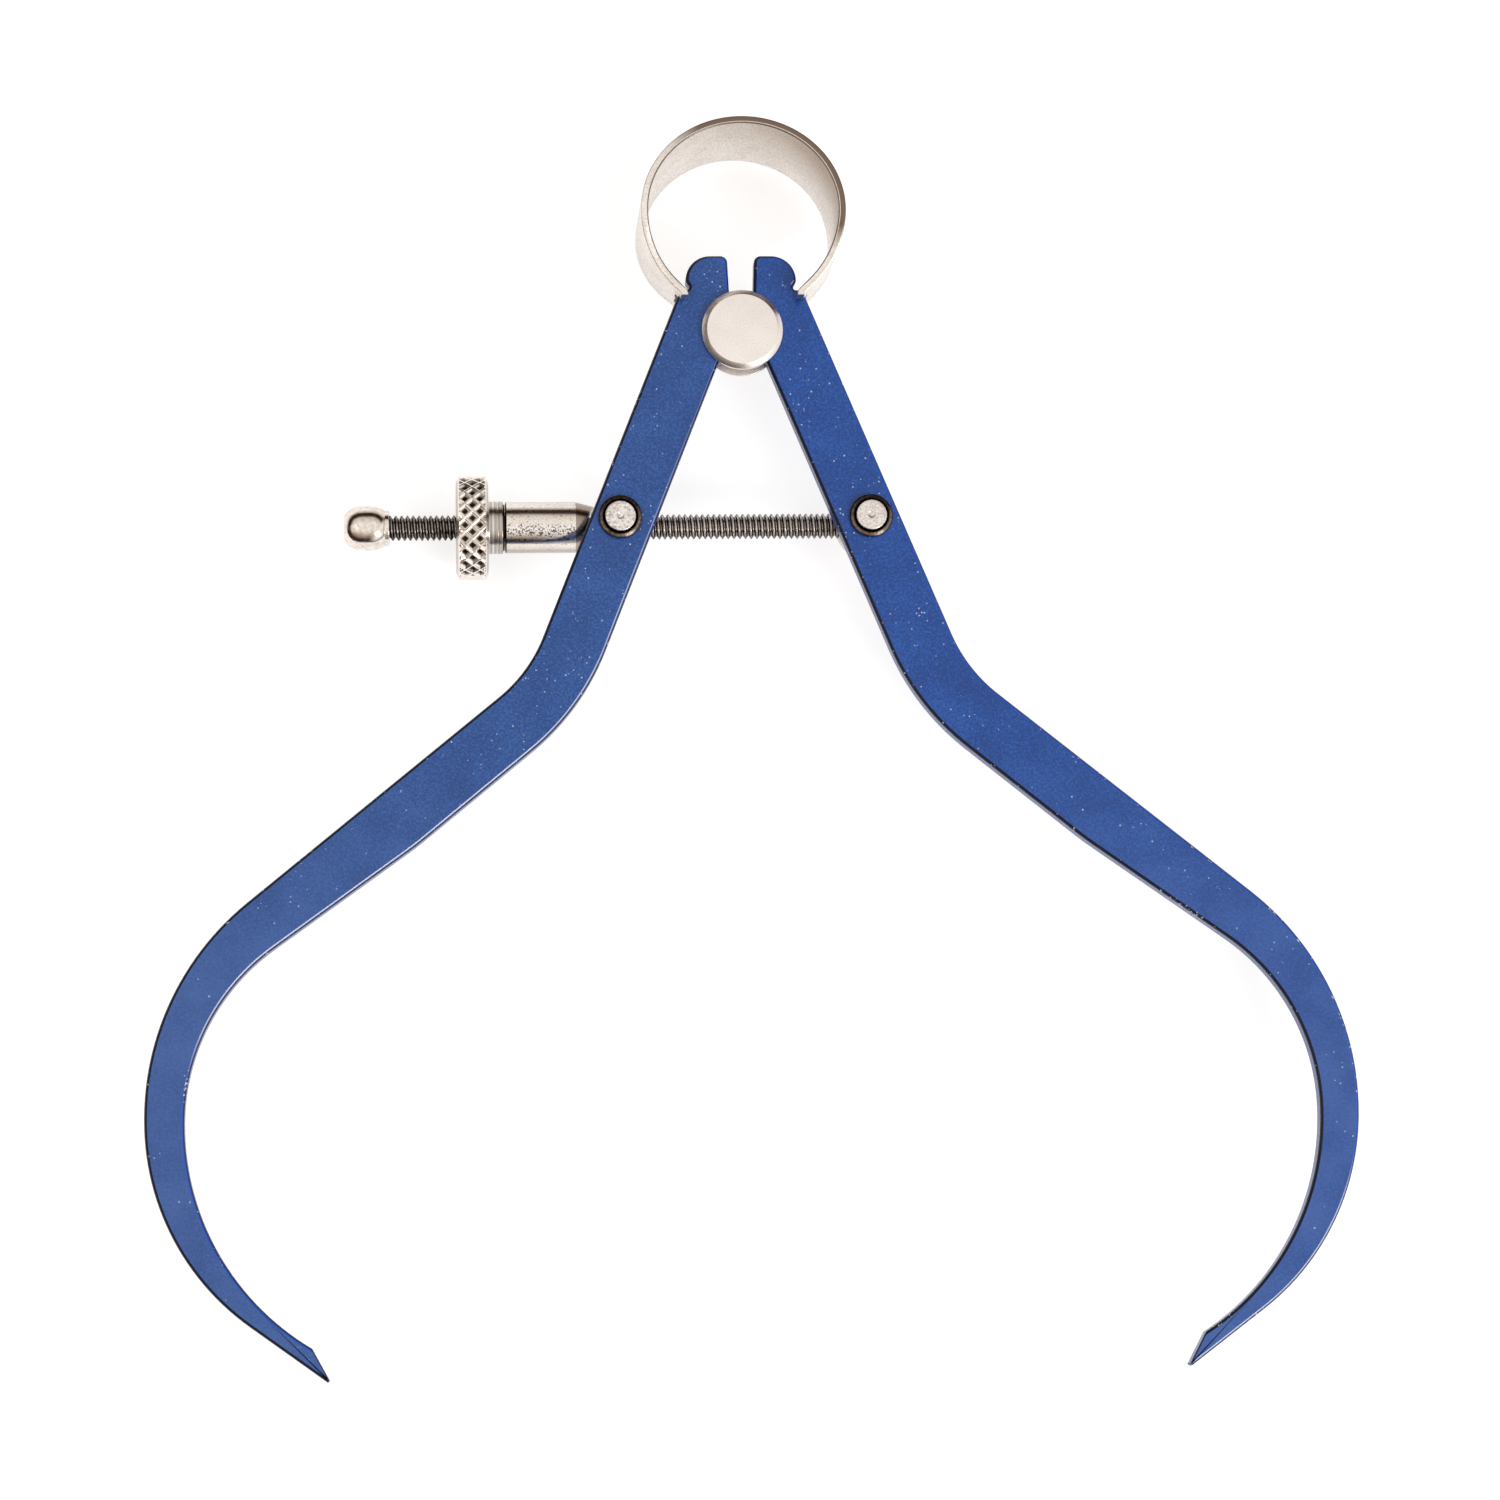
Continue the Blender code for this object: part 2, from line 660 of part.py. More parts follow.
BLUE_PAINT = material("blue_enamel", (0.058, 0.117, 0.328), 0.42, 0.0)
NICKEL = material("nickel_plate", (0.70, 0.62, 0.54), 0.28, 1.0)
SPRING_NICKEL = material("spring_nickel", (0.62, 0.53, 0.45), 0.34, 1.0)
DARK_STEEL = material("dark_steel", (0.09, 0.075, 0.07), 0.45, 1.0)

ROOT = pivot("caliper_hinge", None, HINGE)
left_leg = build_leg("left_leg", -1, BLUE_PAINT)
right_leg = build_leg("right_leg", 1, BLUE_PAINT)
build_roller(NICKEL)
build_bow(SPRING_NICKEL)

LEFT_SWIVEL = pivot("left_swivel", left_leg, (-POST_X, -POST_DROP, 0))
RIGHT_SWIVEL = pivot("right_swivel", right_leg, (POST_X, -POST_DROP, 0))
build_post("left_post", LEFT_SWIVEL, NICKEL)
build_washer("left_post_washer", LEFT_SWIVEL, NICKEL)
build_sleeve(LEFT_SWIVEL, NICKEL)
build_nut(LEFT_SWIVEL, NICKEL)
build_post("right_post", RIGHT_SWIVEL, NICKEL)
build_washer("right_post_washer", RIGHT_SWIVEL, NICKEL)
build_screw(RIGHT_SWIVEL, DARK_STEEL)
build_ball(RIGHT_SWIVEL, NICKEL)
shade_by_angle(CALIPER.objects)
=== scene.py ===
"""Spring-bow outside caliper: enamelled legs, nickel-plated bow, screw, nut and posts.

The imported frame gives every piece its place. Each sub-assembly is a class that builds its own
meshes in metres, at the place where the piece lies, and dresses them in its finish.
"""

import logging
import math
from dataclasses import dataclass
from enum import Enum
from typing import Mapping, Optional, Sequence, Union

import bmesh
import bpy
from mathutils import Matrix, Vector


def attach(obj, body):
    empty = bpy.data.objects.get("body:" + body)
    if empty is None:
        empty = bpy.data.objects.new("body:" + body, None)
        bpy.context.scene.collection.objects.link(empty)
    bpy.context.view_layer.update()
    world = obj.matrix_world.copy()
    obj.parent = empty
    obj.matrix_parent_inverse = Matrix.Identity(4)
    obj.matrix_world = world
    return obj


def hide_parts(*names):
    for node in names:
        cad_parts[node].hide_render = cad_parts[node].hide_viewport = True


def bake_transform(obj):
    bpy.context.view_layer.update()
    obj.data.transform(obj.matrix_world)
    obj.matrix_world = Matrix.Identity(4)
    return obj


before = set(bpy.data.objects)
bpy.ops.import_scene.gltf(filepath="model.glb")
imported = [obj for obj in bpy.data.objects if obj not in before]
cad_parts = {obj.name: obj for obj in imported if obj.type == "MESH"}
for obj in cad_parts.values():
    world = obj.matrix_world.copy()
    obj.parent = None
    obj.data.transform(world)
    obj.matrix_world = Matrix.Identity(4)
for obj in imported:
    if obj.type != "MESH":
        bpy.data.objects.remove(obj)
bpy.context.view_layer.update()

LOG = logging.getLogger("caliper")
Socket = bpy.types.NodeSocket
MM = 0.001
REST_PLACE = "rest_place"
Corner = tuple[Vector, float]
Profile = list[tuple[float, float, float]]


class Axis(Enum):
    """Direction that a turned piece's own axis takes."""

    UP = "up"
    ACROSS = "across"


# Helpers for nodes and colours


def linear(code: str) -> tuple[float, float, float, float]:
    """Turn an sRGB hex value into linear light.

    Args:
        code: Colour as six hex digits, with or without a leading hash.

    Returns:
        Linear red, green, blue and an alpha of 1.
    """
    digits = code.lstrip("#")
    channels = [int(digits[i : i + 2], 16) / 255 for i in (0, 2, 4)]
    light = [c / 12.92 if c <= 0.04045 else ((c + 0.055) / 1.055) ** 2.4 for c in channels]
    return (light[0], light[1], light[2], 1.0)


def add_node(
    tree: bpy.types.NodeTree,
    kind: str,
    inputs: Union[Mapping, Sequence] = (),
    out: Union[int, str] = 0,
    stops: Sequence[tuple[float, str]] = (),
    **settings: object,
) -> Optional[Socket]:
    """Add a node with its settings, values and links.

    Args:
        tree: Tree that takes the node.
        kind: Blender's name of the node type.
        inputs: Values or output sockets, in the order of the node's inputs or keyed by name or index.
        out: Name or index of the output that is wanted.
        stops: Position and hex colour of each stop of a colour ramp, in order.
        settings: Attributes of the node.

    Returns:
        The wanted output socket, or None for a node that has none.
    """
    node = tree.nodes.new(kind)
    for name, value in settings.items():
        setattr(node, name, value)
    if stops:
        elements = node.color_ramp.elements
        for element, (position, code) in zip(elements, (stops[0], stops[-1])):
            element.position = position
            element.color = linear(code)
        for position, code in stops[1:-1]:
            elements.new(position).color = linear(code)
    pairs = inputs.items() if isinstance(inputs, Mapping) else enumerate(inputs)
    for key, value in pairs:
        if isinstance(value, Socket):
            tree.links.new(value, node.inputs[key])
        else:
            node.inputs[key].default_value = value
    return node.outputs[out] if len(node.outputs) else None


# Finishes


@dataclass(frozen=True)
class Finish:
    """What every finish shares: its name, and the first and last nodes of its tree."""

    name: str

    def start(self) -> tuple[bpy.types.Material, bpy.types.NodeTree, bpy.types.Node, Socket]:
        """Start the material.

        Returns:
            The material, its tree, its shader and the object coordinates.
        """
        material = bpy.data.materials.new(self.name)
        material.use_nodes = True
        tree = material.node_tree
        return material, tree, tree.nodes["Principled BSDF"], self.place(tree)

    def place(self, tree: bpy.types.NodeTree) -> Socket:
        """Coordinates that the pattern lies in."""
        return add_node(tree, "ShaderNodeTexCoord", out="Object")

    def dress(
        self, tree: bpy.types.NodeTree, shader: bpy.types.Node, colour: Socket, height: Socket, depth: float
    ) -> None:
        """Feed the shader its colour and its relief.

        Args:
            tree: Shader tree.
            shader: Principled shader.
            colour: Output socket with the colour.
            height: Output socket from 0 to 1 with the relief.
            depth: Full height of the relief in metres.
        """
        normal = add_node(tree, "ShaderNodeBump", {"Height": height, "Distance": depth, "Strength": 0.5})
        tree.links.new(colour, shader.inputs["Base Color"])
        tree.links.new(normal, shader.inputs["Normal"])

    def radius_about(
        self, tree: bpy.types.NodeTree, place: Socket, centre: Vector, keep: tuple[int, int, int]
    ) -> Socket:
        """Distance from an axis.

        Args:
            tree: Shader tree.
            place: Object coordinates.
            centre: Point on the axis.
            keep: 1 for the two directions across the axis, 0 for the one along it.

        Returns:
            Output socket with the distance in metres.
        """
        offset = add_node(tree, "ShaderNodeVectorMath", (place, centre), operation="SUBTRACT")
        flat = add_node(tree, "ShaderNodeVectorMath", (offset, keep), operation="MULTIPLY")
        return add_node(tree, "ShaderNodeVectorMath", [flat], out="Value", operation="LENGTH")

    def upright(self, tree: bpy.types.NodeTree) -> Socket:
        """Size of the normal's upright part.

        Args:
            tree: Shader tree.

        Returns:
            Output socket, 1 on faces that look up or down and 0 on sides.
        """
        normal = add_node(tree, "ShaderNodeNewGeometry", out="Normal")
        rise = add_node(tree, "ShaderNodeSeparateXYZ", [normal], out="Z")
        return add_node(tree, "ShaderNodeMath", [rise], operation="ABSOLUTE")


@dataclass(frozen=True)
class Enamel(Finish):
    """Stoved enamel on steel, sprayed and baked: a semi-gloss film that gives soft wide highlights.

    To the eye it is an even blue with a fine mottle of orange peel, a scatter of pale blisters and a few
    chips of bare steel on the edges, with painted shade and painted highlight along the bevels and a
    painted sheen towards the points.
    """

    name: str = "blue_stoved_enamel"
    deep: str = "#0F4590"
    body: str = "#1552A6"
    pale: str = "#2763B8"
    # The next four colours are painted light: a bright line and a dark edge along the bevels, a milky glint
    # on bevels that face down and right, and a paler sheen towards the points
    bevel_glint: str = "#1C60DA"
    edge: str = "#030E30"
    lip: str = "#DDE4F6"
    point_sheen: str = "#4A6DB2"
    speck: str = "#C3D4FA"
    bare: str = "#C4C6CC"
    # Orange peel is about 0.15 mm across and a blister 0.1 to 0.2 mm, too fine for the render. The peel
    # is drawn twice as coarse, and a blister fills two thirds of a cell of 0.36 mm
    grain_mm: float = 0.32
    speck_mm: float = 0.36
    blister_reach: float = 0.34
    cloud_mm: float = 6.0
    group_mm: float = 4.0
    chip_mm: float = 0.5
    chip_patch_mm: float = 9.0
    chip_from: float = 0.42
    relief_mm: float = 0.014
    roughness: float = 0.42
    refraction: float = 1.5
    gloss: float = 0.3
    coat: float = 0.4
    coat_roughness: float = 0.12

    def build(self) -> bpy.types.Material:
        """Build the enamel as a procedural material.

        Returns:
            The enamel.
        """
        material, tree, shader, place = self.start()
        # Orange peel carries nearly all of the tone, over faint clouds where the film is thicker
        peel = {"Vector": place, "Scale": 1 / (self.grain_mm * MM), "Detail": 3.0}
        grain = add_node(tree, "ShaderNodeTexNoise", peel)
        film = {"Vector": place, "Scale": 1 / (self.cloud_mm * MM), "Detail": 2.0}
        cloud = add_node(tree, "ShaderNodeTexNoise", film)
        tone = add_node(tree, "ShaderNodeMix", {0: 0.25, 2: grain, 3: cloud})
        tones = [(0.38, self.deep), (0.5, self.body), (0.62, self.pale)]
        colour = add_node(tree, "ShaderNodeValToRGB", [tone], stops=tones)
        # Painted shade and painted highlight on the bevels: a bright line where each bevel leaves the face,
        # nearly black over the bevels that face left, and a dark line where each bevel meets the leg's side
        upright = self.upright(tree)
        sideways = add_node(tree, "ShaderNodeSeparateXYZ", [place.node.outputs["Normal"]])
        leftward = {"Value": sideways, "From Min": 0.05, "From Max": -0.10}
        left_bevel_shade = add_node(tree, "ShaderNodeMapRange", leftward)
        # The normal's upright part falls from 1 on the face, over the bevel, to 0 on the leg's side
        near_face = {"Value": upright, "From Min": 0.995, "From Max": 0.965}
        off_face = {"Value": upright, "From Min": 0.999, "From Max": 0.985}
        near_side = {"Value": upright, "From Min": 0.90, "From Max": 0.76}
        off_side = {"Value": upright, "From Min": 0.10, "From Max": 0.30}
        dark = add_node(tree, "ShaderNodeMapRange", near_face)
        dark = add_node(tree, "ShaderNodeMath", (dark, left_bevel_shade), operation="MULTIPLY")
        bright = add_node(tree, "ShaderNodeMapRange", off_face)
        last = add_node(tree, "ShaderNodeMapRange", near_side)
        on_bevel = add_node(tree, "ShaderNodeMapRange", off_side)
        bright = add_node(tree, "ShaderNodeMath", (bright, on_bevel), operation="MULTIPLY")
        last = add_node(tree, "ShaderNodeMath", (last, on_bevel), operation="MULTIPLY")
        dark = add_node(tree, "ShaderNodeMath", (dark, on_bevel), operation="MULTIPLY")
        # Painted highlight: a milky glint where a bevel faces down and to the right
        fall = sideways.node.outputs["Y"]
        downward = {"Value": fall, "From Min": -0.10, "From Max": -0.20, "To Max": 0.85}
        lip = add_node(tree, "ShaderNodeMapRange", downward)
        inner = {"Value": upright, "From Min": 0.998, "From Max": 0.985}
        outer = {"Value": upright, "From Min": 0.80, "From Max": 0.90}
        rightward = {"Value": sideways, "From Min": -0.02, "From Max": 0.06}
        for limits in (inner, outer, rightward):
            share = add_node(tree, "ShaderNodeMapRange", limits)
            lip = add_node(tree, "ShaderNodeMath", (lip, share), operation="MULTIPLY")
        chips = self.chips(tree, place, upright)
        # Painted sheen: the film is paler in clouds towards the points
        along = add_node(tree, "ShaderNodeSeparateXYZ", [place], out="Y")
        point_sheen = {"Value": along, "From Min": 0.0, "From Max": -35 * MM, "To Max": 0.9}
        point_sheen = add_node(tree, "ShaderNodeMapRange", point_sheen)
        point_sheen = add_node(tree, "ShaderNodeMath", (point_sheen, cloud), operation="MULTIPLY")
        layers = (
            (point_sheen, self.point_sheen),
            (bright, self.bevel_glint),
            (last, self.edge),
            (dark, self.edge),
            (lip, self.lip),
            (self.blisters(tree, place), self.speck),
            (chips, self.bare),
        )
        for share, code in layers:
            coats = {0: share, 6: colour, 7: linear(code)}
            colour = add_node(tree, "ShaderNodeMix", coats, out=2, data_type="RGBA")
        relief = add_node(tree, "ShaderNodeMath", (chips, -0.8, grain), operation="MULTIPLY_ADD")
        self.dress(tree, shader, colour, relief, self.relief_mm * MM)
        shader.inputs["Roughness"].default_value = self.roughness
        shader.inputs["IOR"].default_value = self.refraction
        shader.inputs["Specular IOR Level"].default_value = self.gloss
        shader.inputs["Coat Weight"].default_value = self.coat
        shader.inputs["Coat Roughness"].default_value = self.coat_roughness
        return material

    def blisters(self, tree: bpy.types.NodeTree, place: Socket) -> Socket:
        """Mask of the pale blisters: single cells of a fine grid, gathered in loose groups.

        Args:
            tree: Shader tree.
            place: Object coordinates.

        Returns:
            Output socket, above 0 on a blister.
        """
        cells = {"Vector": place, "Scale": 1 / (self.speck_mm * MM), "Randomness": 1.0}
        distance = add_node(tree, "ShaderNodeTexVoronoi", cells, out="Distance")
        near = add_node(tree, "ShaderNodeMath", (distance, self.blister_reach), operation="LESS_THAN")
        chance = add_node(tree, "ShaderNodeSeparateColor", [distance.node.outputs["Color"]])
        # A cell holds a blister if its own random number passes a limit, which is lower within a group
        gathering = {"Vector": place, "Scale": 1 / (self.group_mm * MM), "Detail": 1.0}
        groups = add_node(tree, "ShaderNodeTexNoise", gathering)
        limit = add_node(tree, "ShaderNodeMath", (groups, -0.28, 1.105), operation="MULTIPLY_ADD")
        # They get rarer from the posts towards the points
        along = add_node(tree, "ShaderNodeSeparateXYZ", [place], out="Y")
        toward_points = {"Value": along, "From Min": 12 * MM, "From Max": -30 * MM, "To Max": 0.035}
        quiet = add_node(tree, "ShaderNodeMapRange", toward_points)
        limit = add_node(tree, "ShaderNodeMath", (limit, quiet), operation="ADD")
        rare = add_node(tree, "ShaderNodeMath", (chance, limit), operation="GREATER_THAN")
        both = add_node(tree, "ShaderNodeMath", (near, rare), operation="MULTIPLY")
        # Some blisters are milky, others only a shade paler
        second = chance.node.outputs[1]
        strength = add_node(tree, "ShaderNodeMath", (second, 0.7, 0.25), operation="MULTIPLY_ADD")
        return add_node(tree, "ShaderNodeMath", (both, strength), operation="MULTIPLY")

    def chips(self, tree: bpy.types.NodeTree, place: Socket, upright: Socket) -> Socket:
        """Mask of the small chips along the bevelled edges.

        Args:
            tree: Shader tree.
            place: Object coordinates.
            upright: Size of the normal's upright part.

        Returns:
            Output socket, 1 where the film is gone.
        """
        edge = add_node(tree, "ShaderNodeMath", (upright, 0.93), operation="LESS_THAN")
        knocks = {"Vector": place, "Scale": 1 / (self.chip_patch_mm * MM), "Detail": 1.0}
        patches = add_node(tree, "ShaderNodeTexNoise", knocks)
        flakes = {"Vector": place, "Scale": 1 / (self.chip_mm * MM), "Detail": 2.0}
        grit = add_node(tree, "ShaderNodeTexNoise", flakes)
        worn = add_node(tree, "ShaderNodeMath", (patches, grit), operation="MULTIPLY")
        gone = add_node(tree, "ShaderNodeMath", (worn, self.chip_from), operation="GREATER_THAN")
        return add_node(tree, "ShaderNodeMath", (edge, gone), operation="MULTIPLY")


@dataclass(frozen=True)
class Plate(Finish):
    """Nickel plate over turned or rolled steel: warm bright metal, softly blurred by its grain."""

    bright: str
    dull: str
    roughness: float
    # Polishing marks and turning rings are a few hundredths of a millimetre apart, too fine for the
    # render, so the grain and the rings are drawn some five to ten times as coarse
    grain_mm: float
    stretch: tuple[float, float, float] = (1.0, 1.0, 1.0)
    rings_about: Optional[Vector] = None
    ring_mm: float = 0.25
    cloud_mm: float = 3.5
    relief_mm: float = 0.004

    def build(self) -> bpy.types.Material:
        """Build the plate as a procedural material.

        Returns:
            The plated metal.
        """
        material, tree, shader, place = self.start()
        along = add_node(tree, "ShaderNodeMapping", {"Vector": place, "Scale": self.stretch})
        marks = {"Vector": along, "Scale": 1 / (self.grain_mm * MM), "Detail": 3.0}
        grain = add_node(tree, "ShaderNodeTexNoise", marks)
        handling = {"Vector": place, "Scale": 1 / (self.cloud_mm * MM), "Detail": 2.0}
        cloud = add_node(tree, "ShaderNodeTexNoise", handling)
        tone = add_node(tree, "ShaderNodeMix", {0: 0.3, 2: grain, 3: cloud})
        tones = [(0.36, self.dull), (0.60, self.bright)]
        colour = add_node(tree, "ShaderNodeValToRGB", [tone], stops=tones)
        # The grain varies the roughness by up to 0.05 either way
        least = self.roughness - 0.05
        rough = add_node(tree, "ShaderNodeMath", (grain, 0.10, least), operation="MULTIPLY_ADD")
        relief = grain
        if self.rings_about is not None:
            radius = self.radius_about(tree, place, self.rings_about, (1, 1, 0))
            turned = add_node(tree, "ShaderNodeCombineXYZ", [radius])
            rings = {"Vector": turned, "Scale": 1 / (self.ring_mm * MM), "Detail": 4.0}
            relief = add_node(tree, "ShaderNodeTexNoise", rings)
        shader.inputs["Metallic"].default_value = 1.0
        tree.links.new(rough, shader.inputs["Roughness"])
        self.dress(tree, shader, self.tint(tree, place, colour), relief, self.relief_mm * MM)
        return material

    def tint(self, tree: bpy.types.NodeTree, place: Socket, colour: Socket) -> Socket:
        """Colour of the plate, which a subclass changes with its tone, wear and painted shade."""
        return colour


@dataclass(frozen=True)
class SpringPlate(Plate):
    """Rolled spring strip, nickel-plated: a satin metal with a fine grain along the strip.

    Its inside is darker to the right and towards the front, a painted shade. Its front rim is brown there,
    with a dark line along the rounding of the inner edge.
    """

    bow_centre: Vector = Vector((0.0, 0.0, 0.0))
    half_span: float = 13.5 * MM
    half_height: float = 12.6 * MM
    inner_reach: float = 0.975
    line_reach: float = 0.976
    rim_reach: float = 0.982
    worn: str = "#7E6B5D"
    # Colour of the painted shade on the inside
    inside_shade: str = "#A89481"
    line: str = "#5A4A40"
    clean_x: float = -11.0 * MM
    worn_x: float = -6.0 * MM

    def place(self, tree: bpy.types.NodeTree) -> Socket:
        """Coordinates of the strip at rest, so that the pattern bends with it."""
        return add_node(tree, "ShaderNodeAttribute", out="Vector", attribute_name=REST_PLACE)

    def tint(self, tree: bpy.types.NodeTree, place: Socket, colour: Socket) -> Socket:
        """Paint shade on the inside and brown the rim.

        Args:
            tree: Shader tree.
            place: Coordinates of the pattern.
            colour: Colour of the clean plate.

        Returns:
            Output socket with the shaded and browned colour.
        """
        across = add_node(tree, "ShaderNodeSeparateXYZ", [place], out="X")
        depth = across.node.outputs["Z"]
        # The reach is 1 at the middle of the strip's thickness, less inside it and more outside it
        mapping = {
            "Vector": place,
            "Location": (0.0, -self.bow_centre.y / self.half_height, 0.0),
            "Scale": (1 / self.half_span, 1 / self.half_height, 0.0),
        }
        oval = add_node(tree, "ShaderNodeMapping", mapping)
        reach = add_node(tree, "ShaderNodeVectorMath", [oval], out="Value", operation="LENGTH")
        upright = self.upright(tree)
        # Brown on the outer part of the rim, from the left shoulder of the bow to above the right hook
        browned = add_node(tree, "ShaderNodeMath", (upright, 0.4), operation="GREATER_THAN")
        outer = add_node(tree, "ShaderNodeMath", (reach, self.rim_reach), operation="GREATER_THAN")
        wear = {"Value": across, "From Min": self.clean_x, "From Max": self.worn_x}
        hook_y = self.bow_centre.y - 5 * MM
        height = across.node.outputs["Y"]
        above_hook = {"Value": height, "From Min": hook_y, "From Max": hook_y + 3 * MM}
        worn = add_node(tree, "ShaderNodeMapRange", wear)
        clear = add_node(tree, "ShaderNodeMapRange", above_hook)
        for share in (outer, worn, clear):
            browned = add_node(tree, "ShaderNodeMath", (browned, share), operation="MULTIPLY")
        # The dark line lies on the rounding between the rim and the inside
        edge = add_node(tree, "ShaderNodeMath", (upright, 0.12), operation="GREATER_THAN")
        lip = add_node(tree, "ShaderNodeMath", (reach, self.line_reach), operation="LESS_THAN")
        lined = add_node(tree, "ShaderNodeMath", (edge, lip), operation="MULTIPLY")
        lined = add_node(tree, "ShaderNodeMath", (lined, 0.8), operation="MULTIPLY")
        # Painted shade: the inside darkens to the right and towards the front
        dull = add_node(tree, "ShaderNodeMath", (reach, self.inner_reach), operation="LESS_THAN")
        flank = add_node(tree, "ShaderNodeMath", (upright, 0.3), operation="LESS_THAN")
        rightward = {"Value": across, "From Min": -8 * MM, "From Max": 11 * MM, "To Min": 0.12}
        forward = {"Value": depth, "From Min": 4 * MM, "From Max": 19 * MM}
        to_right = add_node(tree, "ShaderNodeMapRange", rightward)
        to_front = add_node(tree, "ShaderNodeMapRange", forward)
        for share in (flank, to_right, to_front):
            dull = add_node(tree, "ShaderNodeMath", (dull, share), operation="MULTIPLY")
        for mask, code in ((dull, self.inside_shade), (browned, self.worn), (lined, self.line)):
            coats = {0: mask, 6: colour, 7: linear(code)}
            colour = add_node(tree, "ShaderNodeMix", coats, out=2, data_type="RGBA")
        return colour


@dataclass(frozen=True)
class RingPlate(Plate):
    """Stamped nickel-plated washer: a dim brown ring, partly painted reflection of the dark room, with
    painted shade, nearly black, at its edges.
    """

    # Colour of the painted shade at the edges; the inner one stands for the shadow in the gap under the
    # head
    dark: str = "#150D0A"
    inner: float = 2.5 * MM
    outer: float = 2.82 * MM
    soft: float = 0.12 * MM

    def tint(self, tree: bpy.types.NodeTree, place: Socket, colour: Socket) -> Socket:
        """Paint shade on the inner and the outer edge.

        Args:
            tree: Shader tree.
            place: Coordinates of the pattern.
            colour: Colour of the clean plate.

        Returns:
            Output socket with the shaded colour.
        """
        radius = self.radius_about(tree, place, self.rings_about, (1, 1, 0))
        inward = {"Value": radius, "From Min": self.inner + self.soft, "From Max": self.inner - self.soft}
        outward = {"Value": radius, "From Min": self.outer - self.soft, "From Max": self.outer + self.soft}
        # Painted shade at both edges
        for band in (inward, outward):
            mask = add_node(tree, "ShaderNodeMapRange", band)
            coats = {0: mask, 6: colour, 7: linear(self.dark)}
            colour = add_node(tree, "ShaderNodeMix", coats, out=2, data_type="RGBA")
        return colour


@dataclass(frozen=True)
class SleevePlate(Plate):
    """Nickel plate on a turned sleeve: bright, with a painted reflection of dark grains along one flank and
    a nose darkened by painted shade.

    The grains are a painted reflection of something textured, dark among painted glints. Most are under 0.2
    mm wide, and they are drawn a little coarser so that they show.
    """

    axis: Vector = Vector((0.0, 0.0, 0.0))
    radius: float = 3.5 * MM
    nose_x: float = -23.144 * MM
    seam_x: float = -32.52 * MM
    # The pit and glint colours paint a speckled reflection, the next two painted shade on the nose and the
    # sides, and the last a painted shadow at the joint
    pit: str = "#4A3D32"
    glint: str = "#FFFDFA"
    browned: str = "#8A7460"
    flank_shade: str = "#9C9086"
    shadowed: str = "#1E120B"
    speckle_mm: float = 0.26

    def tint(self, tree: bpy.types.NodeTree, place: Socket, colour: Socket) -> Socket:
        """Paint a reflection of dark grains and glints along the lower flank, then paint shade on the
        sides, the nose and the joint.

        Args:
            tree: Shader tree.
            place: Coordinates of the pattern.
            colour: Colour of the clean plate.

        Returns:
            Output socket with the painted reflection and shade.
        """
        offset = add_node(tree, "ShaderNodeVectorMath", (place, self.axis), operation="SUBTRACT")
        across = add_node(tree, "ShaderNodeSeparateXYZ", [place], out="X")
        aside = add_node(tree, "ShaderNodeSeparateXYZ", [offset], out="Y")
        reach = self.radius
        # Painted reflection: dark grains and glints in a band along the lower flank
        below_middle = {"Value": aside, "From Min": 0.0, "From Max": -0.55 * reach, "To Max": 0.30}
        lower = add_node(tree, "ShaderNodeMapRange", below_middle)
        above_foot = {"Value": aside, "From Min": -0.68 * reach, "From Max": -0.62 * reach}
        ends = add_node(tree, "ShaderNodeMapRange", above_foot)
        lower = add_node(tree, "ShaderNodeMath", (lower, ends), operation="MULTIPLY")
        speckle_noise = {"Vector": place, "Scale": 1 / (self.speckle_mm * MM), "Detail": 2.0}
        grit = add_node(tree, "ShaderNodeTexNoise", speckle_noise)
        deep = add_node(tree, "ShaderNodeMath", (grit, lower), operation="ADD")
        deepest = {"Value": deep, "From Min": 0.64, "From Max": 0.72, "To Max": 0.85}
        pits = add_node(tree, "ShaderNodeMapRange", deepest)
        raised = add_node(tree, "ShaderNodeMath", (lower, grit), operation="SUBTRACT")
        highest = {"Value": raised, "From Min": -0.34, "From Max": -0.28}
        glints = add_node(tree, "ShaderNodeMapRange", highest)
        # Painted shade along the sleeve's two sides
        far = add_node(tree, "ShaderNodeMath", [aside], operation="ABSOLUTE")
        at_sides = {"Value": far, "From Min": 0.90 * reach, "From Max": 0.97 * reach, "To Max": 0.6}
        flank = add_node(tree, "ShaderNodeMapRange", at_sides)
        # Painted shade and reflection of the leg over the nose, and painted shadow at the joint
        nose = add_node(tree, "ShaderNodeMath", (across, self.nose_x + 0.1 * MM), operation="GREATER_THAN")
        nose = add_node(tree, "ShaderNodeMath", (nose, 0.75), operation="MULTIPLY")
        seam = add_node(tree, "ShaderNodeMath", (across, self.seam_x), operation="LESS_THAN")
        layers = (
            (pits, self.pit),
            (glints, self.glint),
            (flank, self.flank_shade),
            (nose, self.browned),
            (seam, self.shadowed),
        )
        for mask, code in layers:
            coats = {0: mask, 6: colour, 7: linear(code)}
            colour = add_node(tree, "ShaderNodeMix", coats, out=2, data_type="RGBA")
        return colour


